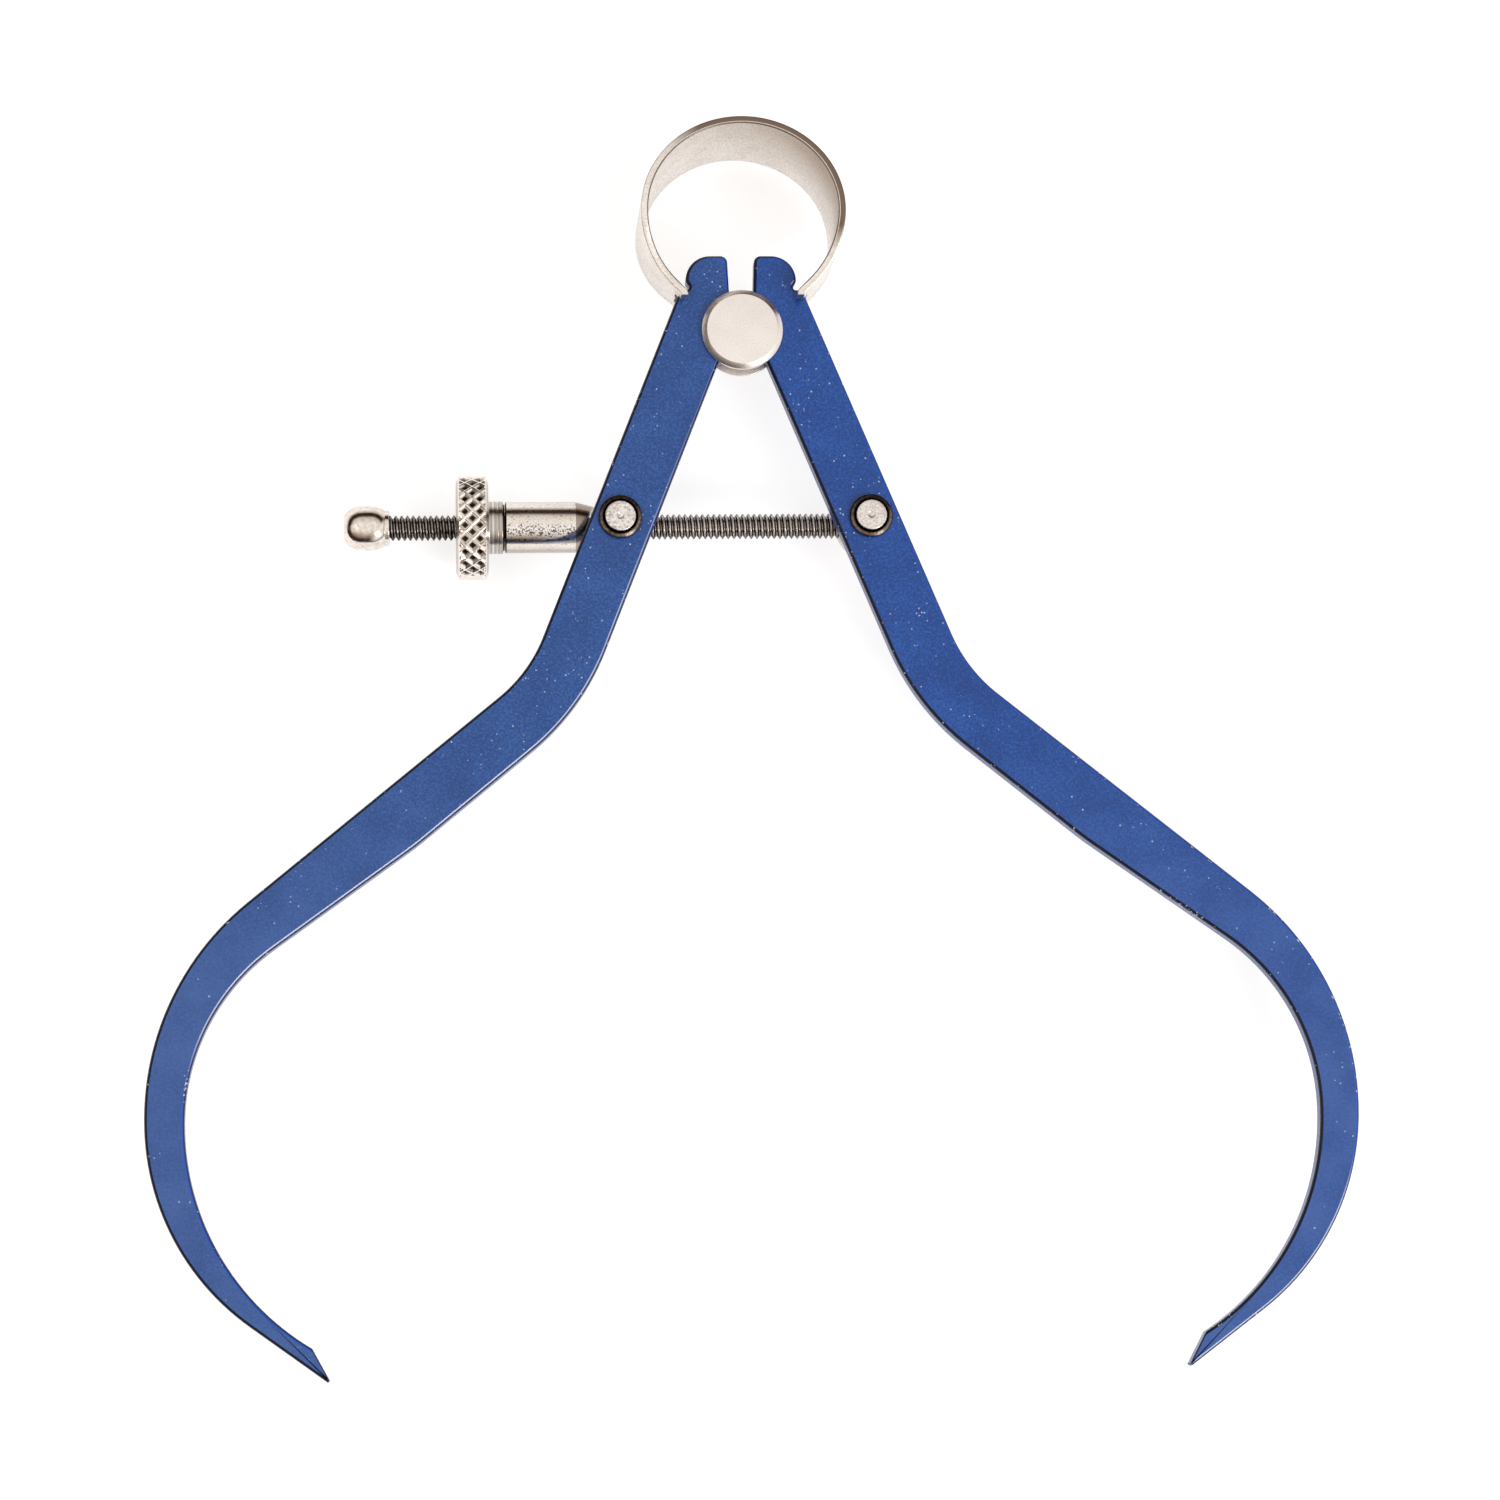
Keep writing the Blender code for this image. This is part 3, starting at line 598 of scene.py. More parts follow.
@dataclass(frozen=True)
class GroovedMetal(Finish):
    """Rolled or knurled metal: grooves darkened by painted shade and oily dirt, crests brightened by
    painted highlight and handling.

    The cut form carries nearly all of the pattern. Fine rings show on the plain zones beside it; the
    real ones are about 0.05 mm apart, and they are drawn coarser so that they show.
    """

    groove: str
    crest: str
    axis: Vector
    root_radius: float
    crest_radius: float
    roughness: float = 0.30
    sharpness: float = 2.0
    grit_share: float = 0.5
    plain_radius: float = 0.0
    plain_half_width: float = 1.0
    plain_middle: float = 0.0
    plain_tone: float = 0.45
    ring_mm: float = 0.3
    grit_mm: float = 0.4
    # Length over which the painted shade on the left end fades
    shade_fade: float = 12 * MM
    relief_mm: float = 0.004
    seam_x: float = 1.0
    # The next four set painted light: a shade on the left end and on the rod's sides, and a highlight in
    # the root
    lit_from: float = -1.0
    left_shade_level: float = 1.0
    side_shade_share: float = 1.0
    root_glint_share: float = 0.0

    def build(self) -> bpy.types.Material:
        """Build the metal, lighter towards the crests.

        Returns:
            The cut metal.
        """
        material, tree, shader, place = self.start()
        radius = self.radius_about(tree, place, self.axis, (0, 1, 1))
        groove_depth = {"Value": radius, "From Min": self.root_radius, "From Max": self.crest_radius}
        height = add_node(tree, "ShaderNodeMapRange", groove_depth)
        specks = {"Vector": place, "Scale": 1 / (self.grit_mm * MM), "Detail": 2.0}
        grit = add_node(tree, "ShaderNodeTexNoise", specks)
        # Painted highlight on the crests, uneven with the grit
        crest_light = add_node(tree, "ShaderNodeMath", (height, self.sharpness), operation="POWER")
        spread = (grit, self.grit_share * 2, 1 - self.grit_share)
        uneven = add_node(tree, "ShaderNodeMath", spread, operation="MULTIPLY_ADD")
        worn = add_node(tree, "ShaderNodeMath", (crest_light, uneven), operation="MULTIPLY")
        across = add_node(tree, "ShaderNodeSeparateXYZ", [place], out="X")
        # Painted shade: the thread is dimmer on the left, up to where the rod is lit
        shade_start = self.lit_from - self.shade_fade
        left_shade_ramp = {"Value": across, "From Min": shade_start, "From Max": self.lit_from, "To Min": self.left_shade_level}
        lit_share = add_node(tree, "ShaderNodeMapRange", left_shade_ramp)
        worn = add_node(tree, "ShaderNodeMath", (worn, lit_share), operation="MULTIPLY")
        offset = add_node(tree, "ShaderNodeVectorMath", (place, self.axis), operation="SUBTRACT")
        sideways = add_node(tree, "ShaderNodeSeparateXYZ", [offset], out="Y")
        sideways = add_node(tree, "ShaderNodeMath", [sideways], operation="ABSOLUTE")
        # Painted shade: the rod's two sides are darker than its front and back, where the crests catch the
        # light
        span = {
            "Value": sideways,
            "From Min": 0.45 * self.crest_radius,
            "From Max": 0.9 * self.crest_radius,
            "To Min": 1.0,
            "To Max": self.side_shade_share,
        }
        side = add_node(tree, "ShaderNodeMapRange", span)
        worn = add_node(tree, "ShaderNodeMath", (worn, side), operation="MULTIPLY")
        # Outside the cut band the metal is plain, with the fine rings that turning left on it
        aside = add_node(tree, "ShaderNodeMath", (across, self.plain_middle), operation="SUBTRACT")
        aside = add_node(tree, "ShaderNodeMath", [aside], operation="ABSOLUTE")
        half_band = self.plain_half_width
        beside = add_node(tree, "ShaderNodeMath", (aside, half_band), operation="GREATER_THAN")
        below = add_node(tree, "ShaderNodeMath", (radius, self.plain_radius), operation="LESS_THAN")
        plain = add_node(tree, "ShaderNodeMath", (beside, below), operation="MAXIMUM")
        ring_place = add_node(tree, "ShaderNodeCombineXYZ", [across])
        turning = {"Vector": ring_place, "Scale": 1 / (self.ring_mm * MM), "Detail": 2.0}
        rings = add_node(tree, "ShaderNodeTexNoise", turning)
        # The rings' noise lies around 0.5, so this varies the plain tone about its own value
        contrast = (rings, 1.2, self.plain_tone - 0.60)
        skin = add_node(tree, "ShaderNodeMath", contrast, operation="MULTIPLY_ADD")
        skin = add_node(tree, "ShaderNodeMath", (plain, skin), operation="MULTIPLY")
        tone = add_node(tree, "ShaderNodeMath", (worn, skin), operation="MAXIMUM")
        # Past the seam lies the nut's shadowed neck
        before_seam = add_node(tree, "ShaderNodeMath", (across, self.seam_x), operation="LESS_THAN")
        tone = add_node(tree, "ShaderNodeMath", (tone, before_seam), operation="MULTIPLY")
        # Painted shade in the grooves and painted highlight on the crests
        tones = [(0.08, self.groove), (0.75, self.crest)]
        colour = add_node(tree, "ShaderNodeValToRGB", [tone], stops=tones)
        # Painted highlight: a second fine bright line along the root of the thread
        bottom = {"Value": height, "From Min": 0.10, "From Max": 0.02}
        root = add_node(tree, "ShaderNodeMapRange", bottom)
        root = add_node(tree, "ShaderNodeMath", (root, grit), operation="MULTIPLY")
        root = add_node(tree, "ShaderNodeMath", (root, self.root_glint_share), operation="MULTIPLY")
        coats = {0: root, 6: colour, 7: linear(self.crest)}
        colour = add_node(tree, "ShaderNodeMix", coats, out=2, data_type="RGBA")
        shader.inputs["Metallic"].default_value = 1.0
        shader.inputs["Roughness"].default_value = self.roughness
        self.dress(tree, shader, colour, grit, self.relief_mm * MM)
        return material


# Helpers for meshes


def unit(angle: float) -> Vector:
    """Unit vector in the plane of the legs."""
    return Vector((math.cos(angle), math.sin(angle)))


def rounded_outline(corners: Sequence[Corner], step: float) -> list[Vector]:
    """Fillet the corners of a closed polygon.

    Args:
        corners: Place and fillet radius of each corner.
        step: Largest angle between two points of a fillet.

    Returns:
        Points of the outline, in order.
    """
    count = len(corners)
    places = [corner[0] for corner in corners]
    arms = []
    for i, (spot, radius) in enumerate(corners):
        arriving = (spot - places[i - 1]).normalized()
        leaving = (places[(i + 1) % count] - spot).normalized()
        turn = arriving.angle_signed(leaving, 0)
        arms.append((arriving, turn, radius * math.tan(abs(turn) / 2)))
    points = []
    for i, spot in enumerate(places):
        arriving, turn, wanted = arms[i]
        tangent = wanted
        for other in (i - 1, (i + 1) % count):
            side = (places[other] - spot).length
            both = wanted + arms[other][2]
            if both > side:
                tangent = min(tangent, wanted * side / both)
        if tangent < 1e-8:
            points.append(spot.copy())
            continue
        sense = -math.copysign(1, turn)
        start = spot - arriving * tangent
        radius = tangent / math.tan(abs(turn) / 2)
        centre = start + sense * radius * Vector((-arriving.y, arriving.x))
        steps = max(2, math.ceil(abs(turn) / step))
        for k in range(steps + 1):
            swing = Matrix.Rotation(sense * abs(turn) * k / steps, 2)
            points.append(centre + swing @ (start - centre))
    return points


def new_object(
    name: str, shape: bmesh.types.BMesh, material: bpy.types.Material, smooth_to: float = 35.0
) -> bpy.types.Object:
    """Turn a bmesh into a scene object with its material.

    Args:
        name: Name of the piece.
        shape: Geometry, which is freed.
        material: Finish of the whole piece.
        smooth_to: Edges sharper than this many degrees stay sharp.

    Returns:
        The linked object.
    """
    mesh = bpy.data.meshes.new(name)
    shape.to_mesh(mesh)
    shape.free()
    mesh.materials.append(material)
    mesh.shade_smooth()
    mesh.set_sharp_from_angle(angle=math.radians(smooth_to))
    obj = bpy.data.objects.new(name, mesh)
    bpy.context.scene.collection.objects.link(obj)
    return obj


def settled(obj: bpy.types.Object) -> bpy.types.Object:
    """Swap an object's mesh for what its modifiers make, and remove them.

    Args:
        obj: Object with live modifiers.

    Returns:
        The same object with a plain mesh.
    """
    bpy.context.view_layer.update()
    evaluated = obj.evaluated_get(bpy.context.evaluated_depsgraph_get())
    mesh = bpy.data.meshes.new_from_object(evaluated)
    mesh.name = obj.name
    obj.modifiers.clear()
    obj.data = mesh
    return obj


def cut_round(obj: bpy.types.Object, radius: float, depth: float, place: Matrix, segments: int) -> None:
    """Cut a round hole into an object.

    Args:
        obj: Piece that is cut.
        radius: Radius of the hole.
        depth: Length of the cutter, centred on its place.
        place: Centre and direction of the hole.
        segments: Steps around.
    """
    shape = bmesh.new()
    bmesh.ops.create_cone(
        shape, cap_ends=True, segments=segments, radius1=radius, radius2=radius, depth=depth, matrix=place
    )
    cut_shape(obj, shape)


def cut_shape(obj: bpy.types.Object, shape: bmesh.types.BMesh) -> None:
    """Take a form out of an object.

    Args:
        obj: Piece that is cut.
        shape: Form of the cut, which is freed.
    """
    tool = new_object("cutting_tool", shape, obj.data.materials[0])
    boolean = obj.modifiers.new("Cut", "BOOLEAN")
    boolean.operation = "DIFFERENCE"
    boolean.solver = "EXACT"
    boolean.object = tool
    settled(obj)
    bpy.data.objects.remove(tool)


def revolve(
    profile: Profile,
    closed: bool,
    segments: int,
    axis: Axis,
    centre: Vector,
    fillet_step: float = 20.0,
) -> bmesh.types.BMesh:
    """Turn a profile about an axis.

    Args:
        profile: Radius, height and fillet of each corner, down the outer side.
        closed: True for a ring, False for a profile that starts and ends on the axis.
        segments: Steps around.
        axis: Direction of the piece's axis; heights rise along it.
        centre: Place of radius 0 and height 0.
        fillet_step: Largest angle in degrees between two points of a fillet.

    Returns:
        The closed surface.
    """
    corners = [(Vector((radius, height)), fillet) for radius, height, fillet in profile]
    points = rounded_outline(corners, math.radians(fillet_step))
    shape = bmesh.new()
    rings = []
    for point in points:
        if point.x < 1e-9:
            rings.append([shape.verts.new(seat(0.0, point.y, 0.0, axis, centre))])
            continue
        ring = []
        for k in range(segments):
            angle = 2 * math.pi * k / segments
            ring.append(shape.verts.new(seat(point.x, point.y, angle, axis, centre)))
        rings.append(ring)
    pairs = list(zip(rings, rings[1:]))
    if closed:
        pairs.append((rings[-1], rings[0]))
    for upper, lower in pairs:
        for k in range(segments):
            after = (k + 1) % segments
            if len(upper) == 1 and len(lower) == 1:
                continue
            if len(upper) == 1:
                shape.faces.new((upper[0], lower[k], lower[after]))
            elif len(lower) == 1:
                shape.faces.new((upper[k], lower[0], upper[after]))
            else:
                shape.faces.new((upper[k], lower[k], lower[after], upper[after]))
    bmesh.ops.recalc_face_normals(shape, faces=shape.faces)
    return shape


def seat(radius: float, height: float, angle: float, axis: Axis, centre: Vector) -> Vector:
    """Point of a turned surface in scene coordinates.

    Args:
        radius: Distance from the axis.
        height: Distance along the axis.
        angle: Angle about the axis.
        axis: Direction of the axis.
        centre: Place of radius 0 and height 0.

    Returns:
        The point.
    """
    across = radius * math.cos(angle)
    aside = radius * math.sin(angle)
    if axis is Axis.UP:
        return centre + Vector((across, aside, height))
    return centre + Vector((height, across, aside))


# The caliper's sizes, in metres, with the hinge at the centre of the legs' plane


@dataclass(frozen=True)
class Layout:
    """Places that the sub-assemblies share."""

    hinge: Vector
    post_x: float = 17.134 * MM
    post_drop: float = 26.05 * MM
    screw_depth: float = 5.2 * MM
    half_leg: float = 1.4 * MM
    fit: float = 0.3 * MM

    def post(self, side: int) -> Vector:
        """Centre of a swivel post, in the plane of the legs."""
        return self.hinge + Vector((side * self.post_x, -self.post_drop, 0))

    def on_screw(self, x: float) -> Vector:
        """Point of the screw's axis at a distance x from the hinge."""
        return self.hinge + Vector((x, -self.post_drop, -self.screw_depth))


@dataclass
class BowSpring:
    """Strip of spring steel bent into a bow, tapered to two slotted hooks."""

    layout: Layout
    finish: Plate
    half_span: float = 13.50 * MM
    half_height: float = 12.60 * MM
    centre_height: float = 15.1 * MM
    wrap: float = math.radians(45)
    thickness: float = 1.0 * MM
    width: float = 18.0 * MM
    end_width: float = 9.0 * MM
    taper_top: float = 15.3 * MM
    taper_end: float = 5.2 * MM
    taper_ease: float = 0.2
    seat_run: float = 1.05 * MM
    straight: float = 1.8 * MM
    hook_radius: float = 0.9 * MM
    arris: float = 0.16 * MM
    slot_length: float = 6.0 * MM
    step: float = math.radians(2)
    straight_steps: int = 4
    hook_steps: int = 8

    def centreline(self) -> tuple[list, Vector, Vector]:
        """Right half of the centreline, from the top of the bow to the tip of the hook.

        Returns:
            Pairs of place and heading, the start of the hook's straight, and its heading.
        """
        line = []
        sweep = math.pi / 2 + self.wrap
        steps = round(sweep / self.step)
        for i in range(steps + 1):
            angle = math.pi / 2 - sweep * i / steps
            spot = Vector((self.half_span * math.cos(angle), self.half_height * math.sin(angle)))
            way = Vector((self.half_span * math.sin(angle), -self.half_height * math.cos(angle)))
            line.append((spot + Vector((0, self.centre_height)), way.normalized()))
        start, heading = line[-1]
        for i in range(1, self.straight_steps):
            line.append((start + heading * self.straight * i / self.straight_steps, heading))
        side = Vector((-heading.y, heading.x))
        pivot = start + heading * self.straight + side * self.hook_radius
        turn = heading.angle(Vector((0, -1)))
        for i in range(self.hook_steps + 1):
            swing = Matrix.Rotation(turn * i / self.hook_steps, 2)
            line.append((pivot - swing @ side * self.hook_radius, swing @ heading))
        return line, start, heading

    def half_width(self, height: float) -> float:
        """Half the strip's width.

        Args:
            height: Height above the hinge, in the plane of the legs.

        Returns:
            Half the width there, eased where the taper meets the full width.
        """
        narrow = self.end_width / 2
        share = (height - self.taper_end) / (self.taper_top - self.taper_end)
        ease = self.taper_ease
        if share > 1 - ease:
            past = min(share, 1 + ease) - (1 - ease)
            share = 1 - ease + past - past * past / (4 * ease)
        return narrow + (self.width / 2 - narrow) * max(0.0, share)

    def section(self, half_width: float) -> list[tuple[float, float]]:
        """Section of the strip, with rounded arrises.

        Args:
            half_width: Half the strip's width there.

        Returns:
            Points as distances through the strip and along its width.
        """
        half = self.thickness / 2
        corners = [
            (Vector((half, half_width)), self.arris),
            (Vector((-half, half_width)), self.arris),
            (Vector((-half, -half_width)), self.arris),
            (Vector((half, -half_width)), self.arris),
        ]
        return [(p.x, p.y) for p in rounded_outline(corners, math.radians(30))]

    def build(self) -> list[bpy.types.Object]:
        """Build the two halves of the bow.

        Returns:
            The left and the right half.
        """
        material = self.finish.build()
        line, start, heading = self.centreline()
        halves = []
        for side, leg, name in ((-1, "left_leg", "bow_spring_left"), (1, "right_leg", "bow_spring_right")):
            half = new_object(name, self.swept(line, side), material)
            self.cut_slot(half, side, start, heading)
            rest = half.data.attributes.new(REST_PLACE, "FLOAT_VECTOR", "POINT")
            for vertex, item in zip(half.data.vertices, rest.data):
                item.vector = vertex.co
            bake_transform(half)
            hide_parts("bow_spring")
            halves.append(half)
        return halves

    def swept(self, line: list, side: int) -> bmesh.types.BMesh:
        """Sweep the strip's section along one half of the centreline.

        Args:
            line: Pairs of place and heading.
            side: 1 for right, -1 for left.

        Returns:
            The closed surface.
        """
        shape = bmesh.new()
        rings = []
        for spot, way in line:
            normal = Vector((-way.y, way.x))
            ring = []
            for through, along in self.section(self.half_width(spot.y)):
                flat = spot + normal * through
                place = self.layout.hinge + Vector((side * flat.x, flat.y, along))
                ring.append(shape.verts.new(place))
            rings.append(ring)
        count = len(rings[0])
        for upper, lower in zip(rings, rings[1:]):
            for k in range(count):
                after = (k + 1) % count
                shape.faces.new((upper[k], upper[after], lower[after], lower[k]))
        shape.faces.new(rings[0])
        shape.faces.new(rings[-1])
        bmesh.ops.recalc_face_normals(shape, faces=shape.faces)
        return shape

    def cut_slot(self, half: bpy.types.Object, side: int, start: Vector, heading: Vector) -> None:
        """Cut the slot that lets a hook straddle its leg.

        Args:
            half: Half of the bow.
            side: 1 for right, -1 for left.
            start: Start of the hook's straight.
            heading: Direction of the straight.
        """
        depth = self.slot_length
        middle = start + heading * (self.seat_run + depth / 2)
        turn = math.atan2(heading.y, side * heading.x)
        place = Matrix.Translation(self.layout.hinge + Vector((side * middle.x, middle.y, 0)))
        size = (depth, self.thickness * 4, 2 * (self.layout.half_leg + self.layout.fit), 1)
        block = place @ Matrix.Rotation(turn, 4, "Z") @ Matrix.Diagonal(size)
        shape = bmesh.new()
        bmesh.ops.create_cube(shape, size=1, matrix=block)
        cut_shape(half, shape)


@dataclass
class Legs:
    """The two flat bowed legs, mirror images of each other."""

    layout: Layout
    left_finish: Enamel
    right_finish: Enamel
    bow: BowSpring
    bevel: float = 0.40 * MM
    bevel_segments: int = 3
    bevel_roundness: float = 0.42
    width: float = 8.54 * MM
    splay: float = math.radians(21.9)
    half_gap: float = 1.57 * MM
    hip_drop_outer: float = 47.35 * MM
    hip_radius_outer: float = 20.5 * MM
    hip_drop_inner: float = 52.4 * MM
    hip_radius_inner: float = 34.0 * MM
    shank_taper: tuple[float, float, float] = (45.15 * MM, 70.8 * MM, 41.0 * MM)
    knee_span: float = 81.3 * MM
    knee_width: float = 5.3 * MM
    knee_outer: tuple[float, float] = (89.2 * MM, 36.7 * MM)
    ankle_outer: tuple[float, float] = (124.2 * MM, 33.7 * MM)
    knee_inner: tuple[float, float] = (92.85 * MM, 28.4 * MM)
    ankle_inner: tuple[float, float] = (127.0 * MM, 34.7 * MM)
    point: tuple[float, float] = (57.3 * MM, 141.7 * MM)
    point_flat: tuple[float, float] = (0.25 * MM, 0.3 * MM)
    contact_length: float = 4.79 * MM
    contact_angle: float = math.radians(61.3)
    seat_radius: float = 3.25 * MM
    seat_steps: int = 30
    lobe_nose_mm: float = 1.87
    lobe_span_mm: float = 7.6
    lobe_height_mm: float = 10.65
    lobe_heel_mm: float = 7.0
    lobe_fillets: tuple[float, float, float] = (0.95 * MM, 3.4 * MM, 0.6 * MM)
    notch_depth: float = 1.3 * MM
    notch_radius: float = 0.45 * MM
    shoulder_reach: float = 0.74 * MM
    post_hole: float = 1.9 * MM
    step: float = math.radians(2)

    def outline(self) -> list[Vector]:
        """Outline of the right leg around the hinge.

        Returns:
            Points in order, clockwise from the shoulder.
        """
        slope = math.tan(self.splay)
        outer_at_hinge = self.half_gap + self.width / math.cos(self.splay)
        start, heading = self.bow.centreline()[1:]
        across = Vector((heading.y, -heading.x))
        seat_point = start + heading * (self.bow.seat_run + self.layout.fit)
        shoulder = seat_point + across * self.shoulder_reach
        reach = outer_at_hinge - slope * seat_point.y - seat_point.x
        reach /= -across.x - slope * across.y
        edge = seat_point - across * reach
        inner_x = self.knee_span - self.knee_width
        point = Vector((self.point[0], -self.point[1]))
        point_inner = point + Vector((-self.point_flat[0], self.point_flat[1]))
        hip_outer = Vector((outer_at_hinge + slope * self.hip_drop_outer, -self.hip_drop_outer))
        hip_inner = Vector((self.half_gap + slope * self.hip_drop_inner, -self.hip_drop_inner))
        corners = [
            (edge, 0.0),
            (hip_outer, self.hip_radius_outer),
            (Vector((self.knee_span, -self.knee_outer[0])), self.knee_outer[1]),
            (Vector((self.knee_span, -self.ankle_outer[0])), self.ankle_outer[1]),
            (point, 0.0),
            (point_inner, 0.0),
            (point_inner + unit(self.contact_angle) * self.contact_length, 0.0),
            (Vector((inner_x, -self.ankle_inner[0])), self.ankle_inner[1]),
            (Vector((inner_x, -self.knee_inner[0])), self.knee_inner[1]),
            (Vector((self.shank_taper[0], -self.shank_taper[1])), self.shank_taper[2]),
            (hip_inner, self.hip_radius_inner),
        ]
        foot = math.asin(self.half_gap * math.cos(self.splay) / self.seat_radius)
        low = -math.pi / 2 + self.splay + foot
        high = math.acos(self.half_gap / self.seat_radius)
        for i in range(self.seat_steps + 1):
            angle = low + (high - low) * i / self.seat_steps
            corners.append((unit(angle) * self.seat_radius, 0.0))
        nose, crown, heel = self.lobe_fillets
        corners += [
            (Vector((self.lobe_nose_mm, self.lobe_height_mm)) * MM, nose),
            (Vector((self.lobe_span_mm, self.lobe_height_mm)) * MM, crown),
            (Vector((self.lobe_span_mm, self.lobe_heel_mm)) * MM, heel),
            (shoulder + Vector((-self.notch_depth, 0)), self.notch_radius),
            (shoulder, 0.0),
        ]
        return rounded_outline(corners, self.step)

    def build(self) -> list[bpy.types.Object]:
        """Build both legs with rounded bevels and a hole for the post.

        Returns:
            The left and the right leg.
        """
        legs = []
        sides = ((-1, "left_leg", self.left_finish), (1, "right_leg", self.right_finish))
        for side, name, finish in sides:
            leg = self.plate(name, side, finish.build())
            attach(leg, name)
            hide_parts(name)
            legs.append(leg)
        return legs

    def plate(self, name: str, side: int, material: bpy.types.Material) -> bpy.types.Object:
        """Build one leg.

        Args:
            name: Name of the body that the leg belongs to.
            side: 1 for right, -1 for left.
            material: Enamel.

        Returns:
            The finished leg.
        """
        hinge = self.layout.hinge
        half = self.layout.half_leg
        shape = bmesh.new()
        rim = []
        for corner in self.outline():
            rim.append(shape.verts.new(hinge + Vector((side * corner.x, corner.y, -half))))
        floor = shape.faces.new(rim)
        raised = bmesh.ops.extrude_face_region(shape, geom=[floor])
        top = [item for item in raised["geom"] if isinstance(item, bmesh.types.BMVert)]
        bmesh.ops.translate(shape, verts=top, vec=(0, 0, 2 * half))
        bmesh.ops.recalc_face_normals(shape, faces=shape.faces)
        # The bevel runs out towards the ground point, which is sharp
        weights = shape.edges.layers.float.new("bevel_weight_edge")
        tip = hinge + Vector((side * self.point[0], -self.point[1], 0))
        for edge in shape.edges:
            first, second = edge.verts
            if abs(first.co.z - second.co.z) > half:
                continue
            middle = (first.co + second.co) / 2
            distance = Vector((middle.x - tip.x, middle.y - tip.y)).length
            edge[weights] = min(1.0, max(0.0, distance / self.contact_length - 0.1))
        leg = new_object(name + "_enamelled", shape, material)
        bevel = leg.modifiers.new("Edges", "BEVEL")
        bevel.limit_method = "WEIGHT"
        bevel.width = self.bevel
        bevel.segments = self.bevel_segments
        bevel.profile = self.bevel_roundness
        bevel.use_clamp_overlap = False
        settled(leg)
        cut_round(leg, self.post_hole, 6 * half, Matrix.Translation(self.layout.post(side)), 64)
        for polygon in leg.data.polygons:
            polygon.use_smooth = abs(polygon.normal.z) < 0.999
        return leg


@dataclass
class FulcrumRoller:
    """Flanged roller on which the legs hinge."""

    layout: Layout
    finish: Plate
    core_radius: float = 2.95 * MM
    rim_radius: float = 5.59 * MM
    face_radius: float = 4.87 * MM
    flange: float = 1.0 * MM
    chamfer_depth: float = 0.6 * MM

    def build(self) -> bpy.types.Object:
        """Turn the roller.

        Returns:
            The roller.
        """
        foot = self.layout.half_leg + self.layout.fit
        face = foot + self.flange
        rim = face - self.chamfer_depth
        profile = [
            (0.0, face, 0.0),
            (self.face_radius, face, 0.25 * MM),
            (self.rim_radius, rim, 0.2 * MM),
            (self.rim_radius, foot, 0.08 * MM),
            (self.core_radius, foot, 0.0),
            (self.core_radius, -foot, 0.0),
            (self.rim_radius, -foot, 0.08 * MM),
            (self.rim_radius, -rim, 0.2 * MM),
            (self.face_radius, -face, 0.25 * MM),
            (0.0, -face, 0.0),
        ]
        shape = revolve(profile, False, 128, Axis.UP, self.layout.hinge)
        roller = new_object("fulcrum_roller_turned", shape, self.finish.build())
        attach(roller, "head")
        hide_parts("fulcrum_roller")
        return roller


@dataclass
class SwivelPost:
    """Post that turns in a leg, with its washer and riveted head."""

    layout: Layout
    side: int
    body: str
    finish: Plate
    ring_finish: Plate
    body_radius: float = 4.0 * MM
    stem_radius: float = 1.6 * MM
    head_radius: float = 2.08 * MM
    head_proud: float = 0.4 * MM
    washer_radius: float = 2.95 * MM
    washer_thickness: float = 0.5 * MM
    dish: float = 0.28 * MM
    dimple_radius: float = 0.5 * MM
    dimple_depth: float = 0.3 * MM
    bore_radius: float = 2.05 * MM
    wall: float = 0.95 * MM
    segments: int = 96

    def build(self) -> list[bpy.types.Object]:
        """Turn the post and its washer, and bore the post across.

        Returns:
            The post and the washer.
        """
        name = "right_post" if self.side > 0 else "left_post"
        centre = self.layout.post(self.side)
        foot = self.layout.half_leg + self.layout.fit
        top = foot + self.washer_thickness
        head = top + self.head_proud
        end = -self.layout.screw_depth - self.bore_radius - self.wall
        profile = [
            (0.0, head - self.dimple_depth, 0.0),
            (self.dimple_radius, head, 0.12 * MM),
            (self.head_radius, head, 0.14 * MM),
            (self.head_radius, top, 0.05 * MM),
            (self.stem_radius, foot, 0.0),
            (self.stem_radius, -foot, 0.0),
            (self.body_radius, -foot, 0.25 * MM),
            (self.body_radius, end, 0.35 * MM),
            (0.0, end, 0.0),
        ]
        turned = revolve(profile, False, self.segments, Axis.UP, centre)
        post = new_object(name + "_turned", turned, self.finish.build())
        across = Matrix.Rotation(math.pi / 2, 4, "Y")
        axis = Matrix.Translation(centre - Vector((0, 0, self.layout.screw_depth)))
        cut_round(post, self.bore_radius, 3.5 * self.body_radius, axis @ across, 48)
        ring = [
            (self.head_radius + self.layout.fit, top, 0.06 * MM),
            (self.washer_radius, top - self.dish, 0.05 * MM),
            (self.washer_radius, foot, 0.04 * MM),
            (self.stem_radius + self.layout.fit, foot, 0.0),
        ]
        stamped = revolve(ring, True, self.segments, Axis.UP, centre)
        washer = new_object(name + "_washer_turned", stamped, self.ring_finish.build())
        for piece, node in ((post, name), (washer, name + "_washer")):
            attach(piece, self.body)
            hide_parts(node)
        return [post, washer]


